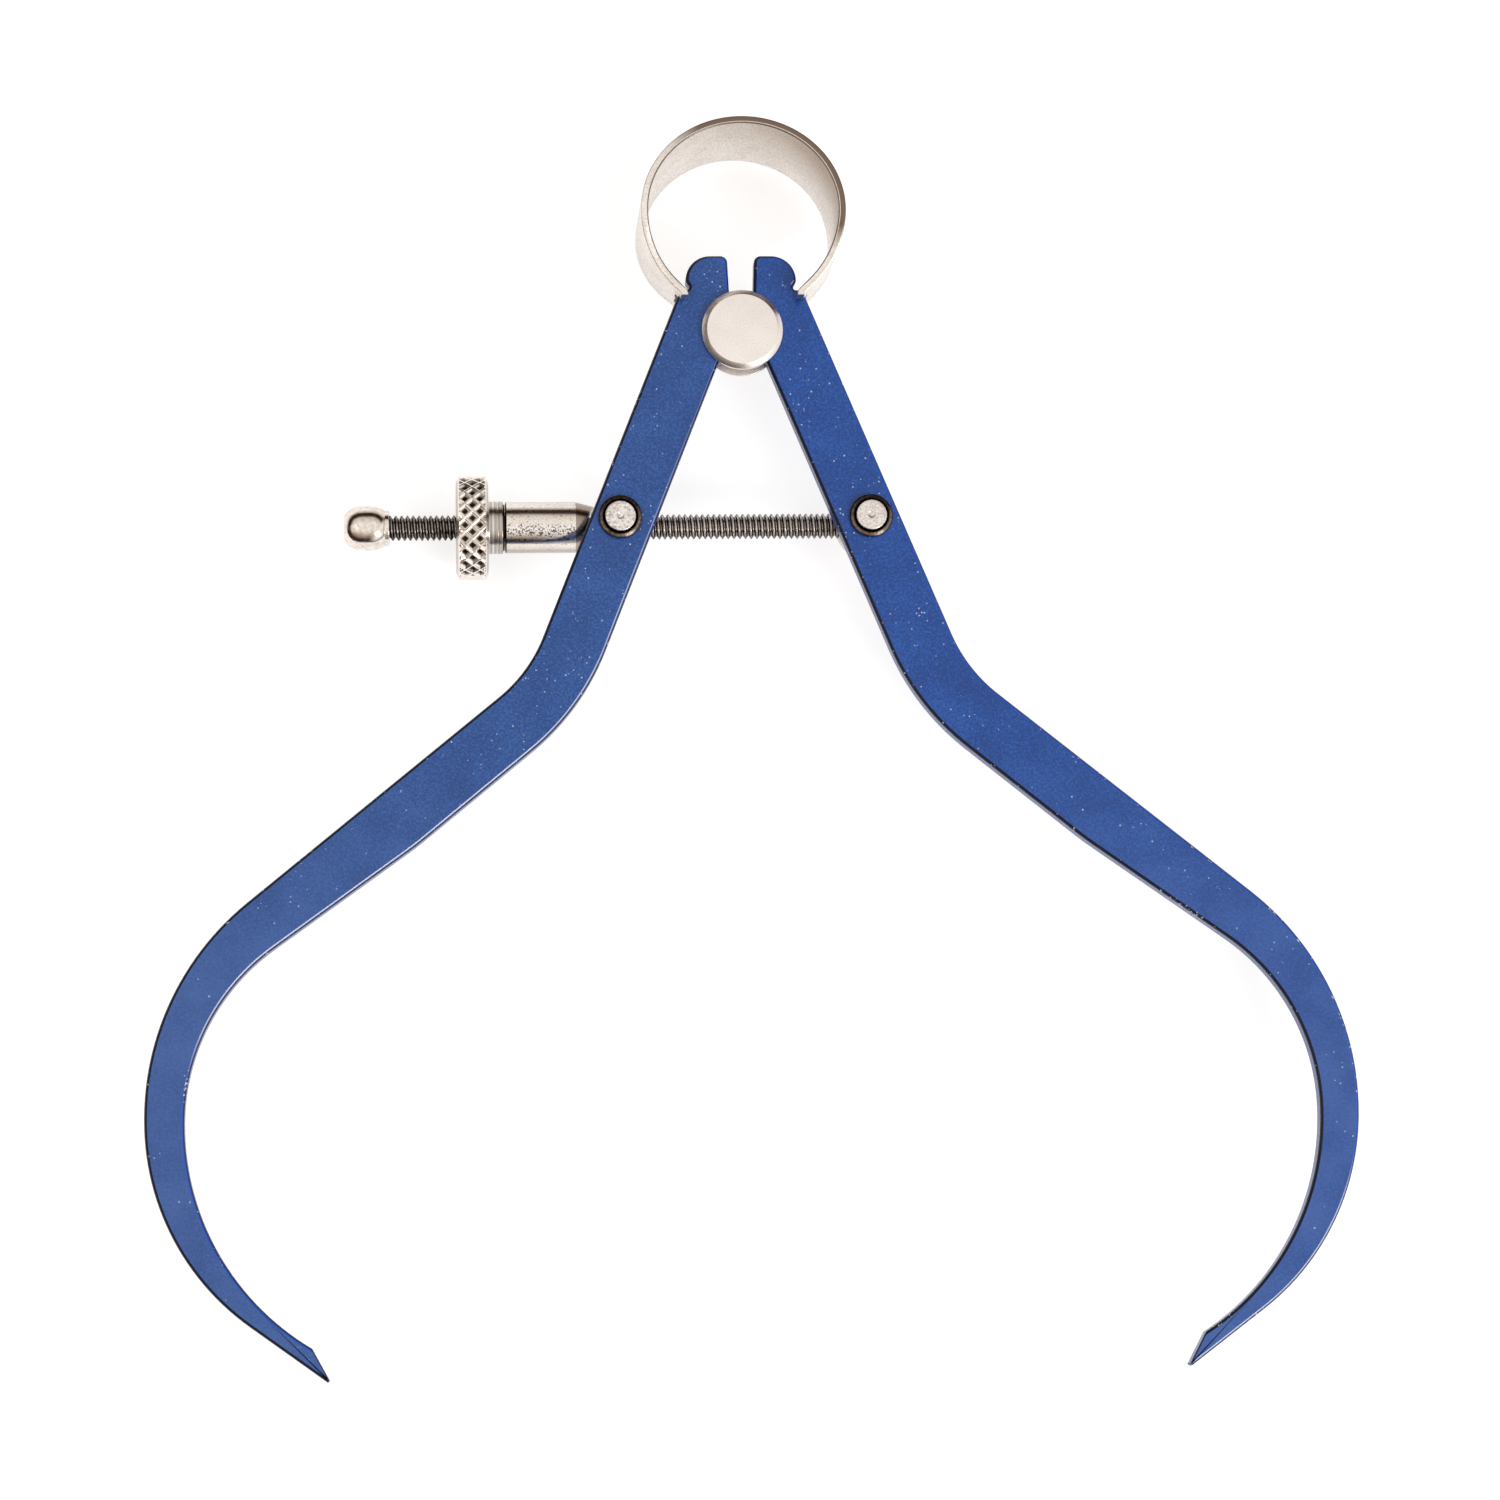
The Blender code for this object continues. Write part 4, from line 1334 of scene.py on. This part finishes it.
def group_input(tree: bpy.types.NodeTree, sizes: dict[str, float]) -> dict[str, Socket]:
    """Give a geometry tree its named inputs.

    Args:
        tree: Geometry tree.
        sizes: Name and default of each number.

    Returns:
        Name of each input to the socket that carries it inside the tree.
    """
    tree.interface.new_socket("Geometry", in_out="INPUT", socket_type="NodeSocketGeometry")
    tree.interface.new_socket("Material", in_out="INPUT", socket_type="NodeSocketMaterial")
    for name, value in sizes.items():
        kind = "NodeSocketInt" if isinstance(value, int) else "NodeSocketFloat"
        tree.interface.new_socket(name, in_out="INPUT", socket_type=kind)
    tree.interface.new_socket("Geometry", in_out="OUTPUT", socket_type="NodeSocketGeometry")
    source = add_node(tree, "NodeGroupInput").node
    return {socket.name: socket for socket in source.outputs if socket.name}


def close_tree(tree: bpy.types.NodeTree, geometry: Socket, material: Socket) -> None:
    """End a geometry tree with real geometry and its material.

    Args:
        tree: Geometry tree.
        geometry: What the tree made.
        material: Socket with the finish.
    """
    real = add_node(tree, "GeometryNodeRealizeInstances", [geometry])
    dressed = add_node(tree, "GeometryNodeSetMaterial", {"Geometry": real, "Material": material})
    add_node(tree, "NodeGroupOutput", [dressed])


def run_tree(
    obj: bpy.types.Object,
    tree: bpy.types.NodeTree,
    material: bpy.types.Material,
    sizes: dict[str, float],
) -> bpy.types.Object:
    """Run a geometry tree on an object and keep its result as a plain mesh.

    Args:
        obj: Object that the tree works on.
        tree: Geometry tree.
        material: Finish.
        sizes: Value of each named input.

    Returns:
        The same object with its new mesh.
    """
    modifier = obj.modifiers.new(tree.name, "NODES")
    modifier.node_group = tree
    for item in tree.interface.items_tree:
        if item.item_type != "SOCKET" or item.in_out != "INPUT":
            continue
        if item.name == "Material":
            modifier[item.identifier] = material
        elif item.name in sizes:
            modifier[item.identifier] = sizes[item.name]
    return settled(obj)


@dataclass
class AdjustingScrew:
    """Threaded rod with its barrel-shaped stop."""

    layout: Layout
    finish: GroovedMetal
    ball_finish: Plate
    radius: float = 1.75 * MM
    root_radius: float = 1.32 * MM
    pitch: float = 25.4 / 32 * MM
    tail: float = 21.534 * MM
    ball_end: float = -48.494 * MM
    ball_radius: float = 3.05 * MM
    ball_length: float = 6.15 * MM
    ball_face_radius: float = 1.76 * MM
    collar_radius: float = 2.4 * MM
    collar_length: float = 0.6 * MM
    bore_depth: float = 4.2 * MM
    fullness: float = 2.6
    rows_per_turn: int = 10
    around: int = 40
    ball_steps: int = 36

    def thread_tree(self) -> bpy.types.NodeTree:
        """Tree that rolls a flat grid into a rod with a helical thread.

        Returns:
            The geometry tree.
        """
        tree = bpy.data.node_groups.new("rolled_thread", "GeometryNodeTree")
        sizes = {"Length": 0.0, "Crest": 0.0, "Root": 0.0, "Pitch": 0.0, "Rows": 2, "Around": 3}
        size = group_input(tree, sizes)
        square = {"Size X": 1.0, "Size Y": 1.0, "Vertices X": size["Rows"], "Vertices Y": size["Around"]}
        grid = add_node(tree, "GeometryNodeMeshGrid", square, out="Mesh")
        position = add_node(tree, "GeometryNodeInputPosition")
        place = add_node(tree, "ShaderNodeSeparateXYZ", [position]).node.outputs
        along = {"Value": place["X"], "From Min": -0.5, "From Max": 0.5, "To Max": size["Length"]}
        distance = add_node(tree, "ShaderNodeMapRange", along)
        turn = add_node(tree, "ShaderNodeMath", (place["Y"], 0.5), operation="ADD")
        turns = add_node(tree, "ShaderNodeMath", (distance, size["Pitch"]), operation="DIVIDE")
        phase = add_node(tree, "ShaderNodeMath", (turns, turn), operation="SUBTRACT")
        # A rolled thread: straight flanks, with a narrow flat on its crest and in its root
        tooth = add_node(tree, "ShaderNodeMath", (phase, 0.5), operation="PINGPONG")
        flank = add_node(tree, "ShaderNodeMath", (tooth, -2.9, 1.22), operation="MULTIPLY_ADD")
        height = add_node(tree, "ShaderNodeMath", (flank, 1.0), operation="MINIMUM")
        # The ends are turned down to the root, and the last ring closes on the axis
        rest = add_node(tree, "ShaderNodeMath", (size["Length"], distance), operation="SUBTRACT")
        from_end = add_node(tree, "ShaderNodeMath", (distance, rest), operation="MINIMUM")
        fade = add_node(tree, "ShaderNodeMapRange", {"Value": from_end, "From Max": size["Pitch"]})
        raised = add_node(tree, "ShaderNodeMath", (height, fade), operation="MULTIPLY")
        depth = {"Value": raised, "To Min": size["Root"], "To Max": size["Crest"]}
        full = add_node(tree, "ShaderNodeMapRange", depth)
        inside = add_node(tree, "ShaderNodeMath", (from_end, 1e-7), operation="GREATER_THAN")
        radius = add_node(tree, "ShaderNodeMath", (full, inside), operation="MULTIPLY")
        angle = add_node(tree, "ShaderNodeMath", (turn, 2 * math.pi), operation="MULTIPLY")
        sides = []
        for operation in ("COSINE", "SINE"):
            share = add_node(tree, "ShaderNodeMath", [angle], operation=operation)
            sides.append(add_node(tree, "ShaderNodeMath", (radius, share), operation="MULTIPLY"))
        point = add_node(tree, "ShaderNodeCombineXYZ", (distance, sides[0], sides[1]))
        rolled = add_node(tree, "GeometryNodeSetPosition", {"Geometry": grid, "Position": point})
        sealed = add_node(tree, "GeometryNodeMergeByDistance", {"Geometry": rolled, "Distance": 1e-6})
        close_tree(tree, sealed, size["Material"])
        return tree

    def build(self) -> list[bpy.types.Object]:
        """Roll the thread and turn the ball.

        Returns:
            The rod and the ball.
        """
        start = self.ball_end - self.bore_depth + self.layout.fit
        length = self.tail - start
        rows = round(length / self.pitch * self.rows_per_turn)
        material = self.finish.build()
        rod = new_object("adjusting_screw_rolled", bmesh.new(), material)
        sizes = {
            "Length": length,
            "Crest": self.radius,
            "Root": self.root_radius,
            "Pitch": self.pitch,
            "Rows": rows,
            "Around": self.around + 1,
        }
        run_tree(rod, self.thread_tree(), material, sizes)
        rod.data.transform(Matrix.Translation(self.layout.on_screw(start)))
        fix_normals(rod)
        smooth(rod, 50)
        ball = self.ball()
        dressed = ((rod, "adjusting_screw", "dark_steel"), (ball, "screw_ball", "nickel_plate"))
        for piece, node, slot in dressed:
            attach(piece, "right_swivel")
            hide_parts(node)
        return [rod, ball]

    def ball(self) -> bpy.types.Object:
        """Turn the stop on the screw's free end.

        Returns:
            The ball with its collar.
        """
        # The barrel is a super-ellipse, cut by the collar at one end and by a flat face at the other
        power = self.fullness
        near = (1 - (self.collar_radius / self.ball_radius) ** power) ** (1 / power)
        start = math.acos(near)
        far = (1 - (self.ball_face_radius / self.ball_radius) ** power) ** (1 / power)
        end = math.acos(-far)
        half_length = (self.ball_length - self.collar_length) / (near + far)
        bore = self.radius + self.layout.fit
        profile = [
            (0.0, -self.bore_depth, 0.0),
            (bore, -self.bore_depth, 0.0),
            (bore, 0.0, 0.0),
            (self.collar_radius, 0.0, 0.12 * MM),
            (self.collar_radius, -self.collar_length, 0.08 * MM),
        ]
        for i in range(1, self.ball_steps + 1):
            across = math.cos(start + (end - start) * i / self.ball_steps)
            radius = self.ball_radius * (1 - abs(across) ** power) ** (1 / power)
            profile.append((radius, -self.collar_length - half_length * (near - across), 0.0))
        profile.append((0.0, -self.ball_length, 0.0))
        shape = revolve(profile, False, 96, Axis.ACROSS, self.layout.on_screw(self.ball_end))
        return new_object("screw_ball_turned", shape, self.ball_finish.build(), smooth_to=40)


def fix_normals(obj: bpy.types.Object) -> None:
    """Turn an object's faces outwards after merging its doubles.

    Args:
        obj: Object with a closed mesh.
    """
    shape = bmesh.new()
    shape.from_mesh(obj.data)
    bmesh.ops.remove_doubles(shape, verts=shape.verts, dist=1e-7)
    bmesh.ops.recalc_face_normals(shape, faces=shape.faces)
    shape.to_mesh(obj.data)
    shape.free()


def smooth(obj: bpy.types.Object, degrees: float) -> None:
    """Shade an object smooth, with edges above an angle kept sharp."""
    obj.data.shade_smooth()
    obj.data.set_sharp_from_angle(angle=math.radians(degrees))


@dataclass
class KnurledNut:
    """Nut with a hub and a disc that is knurled in diamonds."""

    layout: Layout
    finish: GroovedMetal
    end: float = -32.984 * MM
    hub_radius: float = 3.6 * MM
    hub_length: float = 2.01 * MM
    neck_radius: float = 3.2 * MM
    neck_length: float = 0.22 * MM
    radius: float = 7.1 * MM
    width: float = 4.4 * MM
    rim: float = 0.4 * MM
    depth: float = 0.45 * MM
    bore_radius: float = 2.05 * MM
    knurls: int = 22
    steps_per_knurl: int = 20
    ridge: float = 0.06
    pit: float = 0.34
    run_out: float = 0.12 * MM
    groove_depth: float = 0.10 * MM
    rows: int = 36

    def knurl_tree(self) -> bpy.types.NodeTree:
        """Tree that presses diamond pits into the band of a turned blank.

        Returns:
            The geometry tree.
        """
        tree = bpy.data.node_groups.new("diamond_knurl", "GeometryNodeTree")
        sizes = {
            "Centre X": 0.0,
            "Centre Y": 0.0,
            "Centre Z": 0.0,
            "Band Radius": 0.0,
            "Band Half Width": 0.0,
            "Depth": 0.0,
            "Knurls": 1,
            "Pitch": 0.0,
        }
        size = group_input(tree, sizes)
        middle = (size["Centre X"], size["Centre Y"], size["Centre Z"])
        centre = add_node(tree, "ShaderNodeCombineXYZ", middle)
        position = add_node(tree, "GeometryNodeInputPosition")
        offset = add_node(tree, "ShaderNodeVectorMath", (position, centre), operation="SUBTRACT")
        part = add_node(tree, "ShaderNodeSeparateXYZ", [offset]).node.outputs
        radial = add_node(tree, "ShaderNodeVectorMath", (offset, (0, 1, 1)), operation="MULTIPLY")
        radius = add_node(tree, "ShaderNodeVectorMath", [radial], out="Value", operation="LENGTH")
        outward = add_node(tree, "ShaderNodeVectorMath", [radial], operation="NORMALIZE")
        angle = add_node(tree, "ShaderNodeMath", (part["Z"], part["Y"]), operation="ARCTAN2")
        turn = add_node(tree, "ShaderNodeMath", (angle, 2 * math.pi), operation="DIVIDE")
        around = add_node(tree, "ShaderNodeMath", (turn, size["Knurls"]), operation="MULTIPLY")
        along = add_node(tree, "ShaderNodeMath", (part["X"], size["Pitch"]), operation="DIVIDE")
        # Each family of ridges is a triangle wave: 0 on a ridge, 0.5 half way to the next
        waves = []
        for operation in ("ADD", "SUBTRACT"):
            line = add_node(tree, "ShaderNodeMath", (around, along), operation=operation)
            wave = add_node(tree, "ShaderNodeMath", (line, 0.5), operation="PINGPONG")
            waves.append(wave)
        # The metal stands in crossed ridges around diamond-shaped pits
        lower = add_node(tree, "ShaderNodeMath", (waves[0], waves[1]), operation="MINIMUM")
        slope = {"Value": lower, "From Min": self.ridge, "From Max": self.pit, "To Max": size["Depth"]}
        hollow = add_node(tree, "ShaderNodeMapRange", slope)
        aside = add_node(tree, "ShaderNodeMath", [part["X"]], operation="ABSOLUTE")
        inside = add_node(tree, "ShaderNodeMath", (size["Band Half Width"], aside), operation="SUBTRACT")
        fade = add_node(tree, "ShaderNodeMapRange", {"Value": inside, "From Max": self.run_out})
        skin = add_node(tree, "ShaderNodeMath", (radius, 1e-5), operation="ADD")
        on_band = add_node(tree, "ShaderNodeMath", (skin, size["Band Radius"]), operation="GREATER_THAN")
        amount = add_node(tree, "ShaderNodeMath", (hollow, fade), operation="MULTIPLY")
        amount = add_node(tree, "ShaderNodeMath", (amount, on_band), operation="MULTIPLY")
        amount = add_node(tree, "ShaderNodeMath", (amount, -1.0), operation="MULTIPLY")
        move = add_node(tree, "ShaderNodeVectorMath", {0: outward, "Scale": amount}, operation="SCALE")
        blank = {"Geometry": size["Geometry"], "Offset": move}
        pressed = add_node(tree, "GeometryNodeSetPosition", blank)
        close_tree(tree, pressed, size["Material"])
        return tree

    def build(self) -> bpy.types.Object:
        """Turn the blank and press the knurl into it.

        Returns:
            The nut.
        """
        disc = -self.hub_length
        far = disc - self.width
        profile = [
            (self.bore_radius, self.neck_length, 0.0),
            (self.neck_radius, self.neck_length, 0.0),
            (self.neck_radius, 0.0, 0.0),
            (self.hub_radius, 0.0, 0.12 * MM),
            (self.hub_radius, disc * 0.30, 0.0),
            (self.hub_radius - self.groove_depth, disc * 0.34, 0.0),
            (self.hub_radius - self.groove_depth, disc * 0.40, 0.0),
            (self.hub_radius, disc * 0.44, 0.0),
            (self.hub_radius, disc, 0.15 * MM),
            (self.radius - 2.2 * self.rim, disc, 0.1 * MM),
        ]
        band = self.width - 2 * self.rim
        for row in range(self.rows + 1):
            profile.append((self.radius, disc - self.rim - band * row / self.rows, 0.0))
        profile += [
            (self.radius - 2.2 * self.rim, far, 0.1 * MM),
            (self.radius - 3.0 * self.rim, far, 0.0),
            (self.hub_radius + 0.6 * MM, far + 0.25 * MM, 0.1 * MM),
            (self.hub_radius, far, 0.1 * MM),
            (self.bore_radius, far, 0.0),
        ]
        segments = self.knurls * self.steps_per_knurl
        place = self.layout.on_screw(self.end)
        material = self.finish.build()
        blank = revolve(profile, True, segments, Axis.ACROSS, place)
        nut = new_object("knurled_nut_turned", blank, material)
        middle = place + Vector((disc - self.width / 2, 0, 0))
        sizes = {
            "Centre X": middle.x,
            "Centre Y": middle.y,
            "Centre Z": middle.z,
            "Band Radius": self.radius,
            "Band Half Width": band / 2,
            "Depth": self.depth,
            "Knurls": self.knurls,
            "Pitch": 2 * math.pi * self.radius / self.knurls,
        }
        run_tree(nut, self.knurl_tree(), material, sizes)
        smooth(nut, 28)
        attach(nut, "nut")
        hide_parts("knurled_nut")
        return nut


@dataclass
class NutSleeve:
    """Sleeve between the nut and the left post, with a tapered nose that saddles the post."""

    layout: Layout
    finish: Plate
    end: float = -20.484 * MM
    length: float = 12.2 * MM
    radius: float = 3.5 * MM
    nose_radius: float = 2.8 * MM
    nose_length: float = 2.66 * MM
    bore_radius: float = 2.05 * MM
    saddle_radius: float = 4.3 * MM

    def build(self) -> bpy.types.Object:
        """Turn the sleeve and cut the saddle into its nose.

        Returns:
            The sleeve.
        """
        profile = [
            (self.bore_radius, 0.0, 0.0),
            (self.nose_radius, 0.0, 0.0),
            (self.radius, -self.nose_length, 0.0),
            (self.radius, -self.length, 0.10 * MM),
            (self.bore_radius, -self.length, 0.0),
        ]
        place = self.layout.on_screw(self.end)
        turned = revolve(profile, True, 128, Axis.ACROSS, place)
        sleeve = new_object("nut_sleeve_turned", turned, self.finish.build())
        centre = self.layout.post(-1) - Vector((0, 0, self.layout.screw_depth))
        cut_round(sleeve, self.saddle_radius, 3 * self.radius, Matrix.Translation(centre), 96)
        smooth(sleeve, 30)
        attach(sleeve, "left_swivel")
        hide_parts("nut_sleeve")
        return sleeve


@dataclass
class Studio:
    """Floor, light and the camera at the photograph's viewing angle."""

    hinge_front: Vector
    # Where the straight-down direction and the hinge's front fall in the frame of 1500 by 1500 pixels
    below: tuple[float, float] = (438.0, 1405.0)
    seen_hinge: tuple[float, float] = (742.1, 330.7)
    frame_px: float = 1500.0
    focal_px: float = 4220.0
    distance: float = 0.582
    roll: float = -0.0205
    sensor: float = 36.0
    window: tuple[float, float, float] = (0.90, -0.44, 0.0)

    def camera(self) -> bpy.types.Object:
        """Set the camera from where two known directions fall in the frame.

        Returns:
            The camera.
        """
        half = self.frame_px / 2
        down = Vector((self.below[0] - half, self.below[1] - half, self.focal_px)).normalized()
        level = Vector((math.cos(self.roll), math.sin(self.roll), 0))
        across = (level - down * level.dot(down)).normalized()
        up = -down
        away = up.cross(across)
        # Columns are the world's axes as the camera sees them: right, down, forward
        seen = Matrix((across, away, up)).transposed()
        ray = Vector((self.seen_hinge[0] - half, self.seen_hinge[1] - half, self.focal_px)).normalized()
        world = seen.transposed()
        place = self.hinge_front - world @ (ray * self.distance)
        # A camera of Blender's looks down its own -Z, with +Y up
        sides = (Vector((1, 0, 0)), Vector((0, -1, 0)), Vector((0, 0, -1)))
        turn = Matrix([world @ side for side in sides])
        lens = bpy.data.cameras.new("photo_camera")
        lens.sensor_width = self.sensor
        lens.lens = self.focal_px / self.frame_px * self.sensor
        lens.clip_start = 0.01
        camera = bpy.data.objects.new("photo_camera", lens)
        camera.matrix_world = Matrix.Translation(place) @ turn.transposed().to_4x4()
        bpy.context.scene.collection.objects.link(camera)
        bpy.context.scene.camera = camera
        return camera

    def floor(self) -> bpy.types.Object:
        """Lay a plain pale floor that keeps the shadow and reads white to the camera.

        Returns:
            The floor.
        """
        shape = bmesh.new()
        bmesh.ops.create_grid(shape, x_segments=1, y_segments=1, size=3.0)
        material = bpy.data.materials.new("pale_floor")
        material.use_nodes = True
        tree = material.node_tree
        tree.nodes.clear()
        seen = add_node(tree, "ShaderNodeLightPath", out="Is Camera Ray")
        mirrored = seen.node.outputs["Is Glossy Ray"]
        paper = add_node(tree, "ShaderNodeBsdfDiffuse", {"Color": linear("#D8D8D8")})
        shader = paper
        for share, strength in ((seen, 0.66), (mirrored, 0.56)):
            glow = add_node(tree, "ShaderNodeEmission", {"Color": (1, 1, 1, 1), "Strength": strength})
            lit = add_node(tree, "ShaderNodeAddShader", (paper, glow))
            shader = add_node(tree, "ShaderNodeMixShader", (share, shader, lit))
        add_node(tree, "ShaderNodeOutputMaterial", [shader])
        floor = new_object("floor", shape, material)
        return floor

    def light(self) -> None:
        """Hang soft lamps and set a warm grey room around the caliper."""
        world = bpy.data.worlds.new("room")
        bpy.context.scene.world = world
        world.use_nodes = True
        tree = world.node_tree
        tree.nodes.clear()
        way = add_node(tree, "ShaderNodeTexCoord", out="Generated")
        height = add_node(tree, "ShaderNodeSeparateXYZ", [way], out="Z")
        # A bright window stands to the right, and elsewhere a dark wall shows between paper and ceiling
        pair = (way, self.window)
        toward = add_node(tree, "ShaderNodeVectorMath", pair, out="Value", operation="DOT_PRODUCT")
        window = add_node(tree, "ShaderNodeMapRange", {"Value": toward, "From Min": 0.45, "From Max": 0.70})
        forward = add_node(tree, "ShaderNodeSeparateXYZ", [way], out="Y")
        backward = {"Value": forward, "From Min": -0.20, "From Max": 0.20}
        behind = add_node(tree, "ShaderNodeMapRange", backward)
        front = [
            (0.0, "#2A1D16"),
            (0.36, "#33251D"),
            (0.52, "#8C7D72"),
            (0.78, "#D6CCC3"),
            (0.92, "#FAF7F4"),
        ]
        back = [
            (0.0, "#D8CEC5"),
            (0.16, "#CFC4BA"),
            (0.24, "#241712"),
            (0.56, "#2C1E17"),
            (0.68, "#D2C8BF"),
            (0.92, "#FAF7F4"),
        ]
        bright = [(0.0, "#F2EAE2"), (0.5, "#FFFDFB"), (1.0, "#FAF7F4")]
        room = add_node(tree, "ShaderNodeValToRGB", [height], stops=front)
        for share, stops in ((behind, back), (window, bright)):
            wall = add_node(tree, "ShaderNodeValToRGB", [height], stops=stops)
            sight = {0: share, 6: room, 7: wall}
            room = add_node(tree, "ShaderNodeMix", sight, out=2, data_type="RGBA")
        glow = add_node(tree, "ShaderNodeBackground", {"Color": room, "Strength": 1.0})
        add_node(tree, "ShaderNodeOutputWorld", [glow])
        self.lamp("key_right", Vector((0.45, -0.55, 0.60)), size=0.30, power=2.1)
        self.lamp("fill_left", Vector((-0.60, -0.10, 0.70)), size=0.60, power=0.35)

    def lamp(self, name: str, place: Vector, size: float, power: float) -> None:
        """Hang one square area lamp that faces the caliper.

        Args:
            name: Name of the lamp.
            place: Where it hangs, seen from the caliper's middle.
            size: Side of the square, in metres.
            power: Power in watts.
        """
        data = bpy.data.lights.new(name, "AREA")
        data.shape = "SQUARE"
        data.size = size
        data.energy = power
        lamp = bpy.data.objects.new(name, data)
        lamp.location = place
        lamp.rotation_euler = place.to_track_quat("Z", "Y").to_euler()
        bpy.context.scene.collection.objects.link(lamp)


def main() -> None:
    """Build the caliper piece by piece, then its studio."""
    logging.basicConfig(level=logging.INFO, format="%(name)s: %(message)s")
    hinge = Vector((0.0, 56.75 * MM, 12.3 * MM))
    layout = Layout(hinge=hinge)
    screw_axis = layout.on_screw(0.0)
    # Nickel-plated rolled spring strip: satin, with its grain along the strip
    strip = SpringPlate(
        "nickel_rolled_strip",
        "#FAF4EE",
        "#E3D8CD",
        0.28,
        0.30,
        stretch=(1.0, 1.0, 0.4),
        bow_centre=hinge + Vector((0, BowSpring.centre_height, 0)),
    )
    bow = BowSpring(layout, strip)
    pieces = list(bow.build())
    # Blue stoved enamel over steel, in two copies: the right leg's is a shade deeper, a painted shade
    # against the sheen that lightens the left leg
    left_sheened_enamel = Enamel("blue_stoved_enamel_left", deep="#1B468D", body="#2154A2", pale="#3365B4")
    right_shaded_enamel = Enamel("blue_stoved_enamel_right", deep="#0A408E", body="#0D4DA6", pale="#1F5FBC")
    pieces += Legs(layout, left_sheened_enamel, right_shaded_enamel, bow).build()
    # Nickel plate on a faced roller: nearly white, with faint rings that spread its highlight
    roller_plate = Plate("nickel_roller_face", "#FEF8F4", "#F2EAE4", 0.32, 0.25, rings_about=hinge)
    pieces.append(FulcrumRoller(layout, roller_plate).build())
    for side, body in ((-1, "left_swivel"), (1, "right_swivel")):
        centre = layout.post(side)
        # Painted shade: the left head's dull tone is darker than the right one's
        dull = "#A2968E" if side < 0 else "#CCC3BC"
        # Nickel plate on a riveted head: rings and dull patches from setting it break up its shine
        head = Plate(
            "nickel_post_" + body,
            "#FBF5F1",
            dull,
            0.30,
            0.34,
            rings_about=centre,
            ring_mm=0.5,
            relief_mm=0.012,
        )
        # Stamped washer, dim brown partly as painted reflection: a dim ring that frames the head, with
        # painted shade at its edges
        ring_name = "shaded_washer_" + body
        ring = RingPlate(ring_name, "#94847A", "#5C4B41", 0.28, 0.4, rings_about=centre)
        pieces += SwivelPost(layout, side, body, head, ring).build()
    # Dark steel, thread-rolled: black roots between bright crests, painted shade and painted highlight over
    # oily dirt and wear
    thread = GroovedMetal(
        "dark_thread_steel",
        "#1C1411",
        "#E2D8D0",
        screw_axis,
        root_radius=1.36 * MM,
        crest_radius=1.72 * MM,
        roughness=0.26,
        sharpness=1.7,
        grit_share=0.85,
        lit_from=-8 * MM,
        left_shade_level=0.5,
        side_shade_share=0.25,
        root_glint_share=0.9,
    )
    # Nickel plate on a turned and polished ball: the brightest piece, with a sharp highlight
    ball_plate = Plate("nickel_ball", "#F6EEE6", "#D9CDC2", 0.16, 0.5)
    pieces += AdjustingScrew(layout, thread, ball_plate).build()
    # Nickel plate over a pressed knurl: bright ridges around brown pits, painted highlight and painted
    # shade
    knurl = GroovedMetal(
        "knurled_nickel",
        "#2E211A",
        "#FFF8F0",
        screw_axis,
        root_radius=6.66 * MM,
        crest_radius=6.95 * MM,
        roughness=0.22,
        sharpness=1.0,
        grit_share=0.2,
        plain_radius=6.3 * MM,
        plain_half_width=1.75 * MM,
        plain_middle=-37.194 * MM,
        seam_x=-33.04 * MM,
    )
    pieces.append(KnurledNut(layout, knurl).build())
    # Nickel plate on a turned sleeve, with a painted reflection of dark grains along one flank
    sleeve_plate = SleevePlate(
        "nickel_turned_sleeve",
        "#F4EDE6",
        "#E4DAD0",
        0.17,
        0.20,
        stretch=(0.6, 1.0, 1.0),
        relief_mm=0.010,
        axis=screw_axis,
    )
    pieces.append(NutSleeve(layout, sleeve_plate).build())
    for piece in pieces:
        LOG.info("%s: %d faces", piece.name, len(piece.data.polygons))
    studio = Studio(hinge + Vector((0, 0, layout.half_leg)))
    studio.camera()
    studio.floor()
    studio.light()
    bpy.context.scene.view_settings.view_transform = "Standard"


if __name__ == "__main__":
    main()
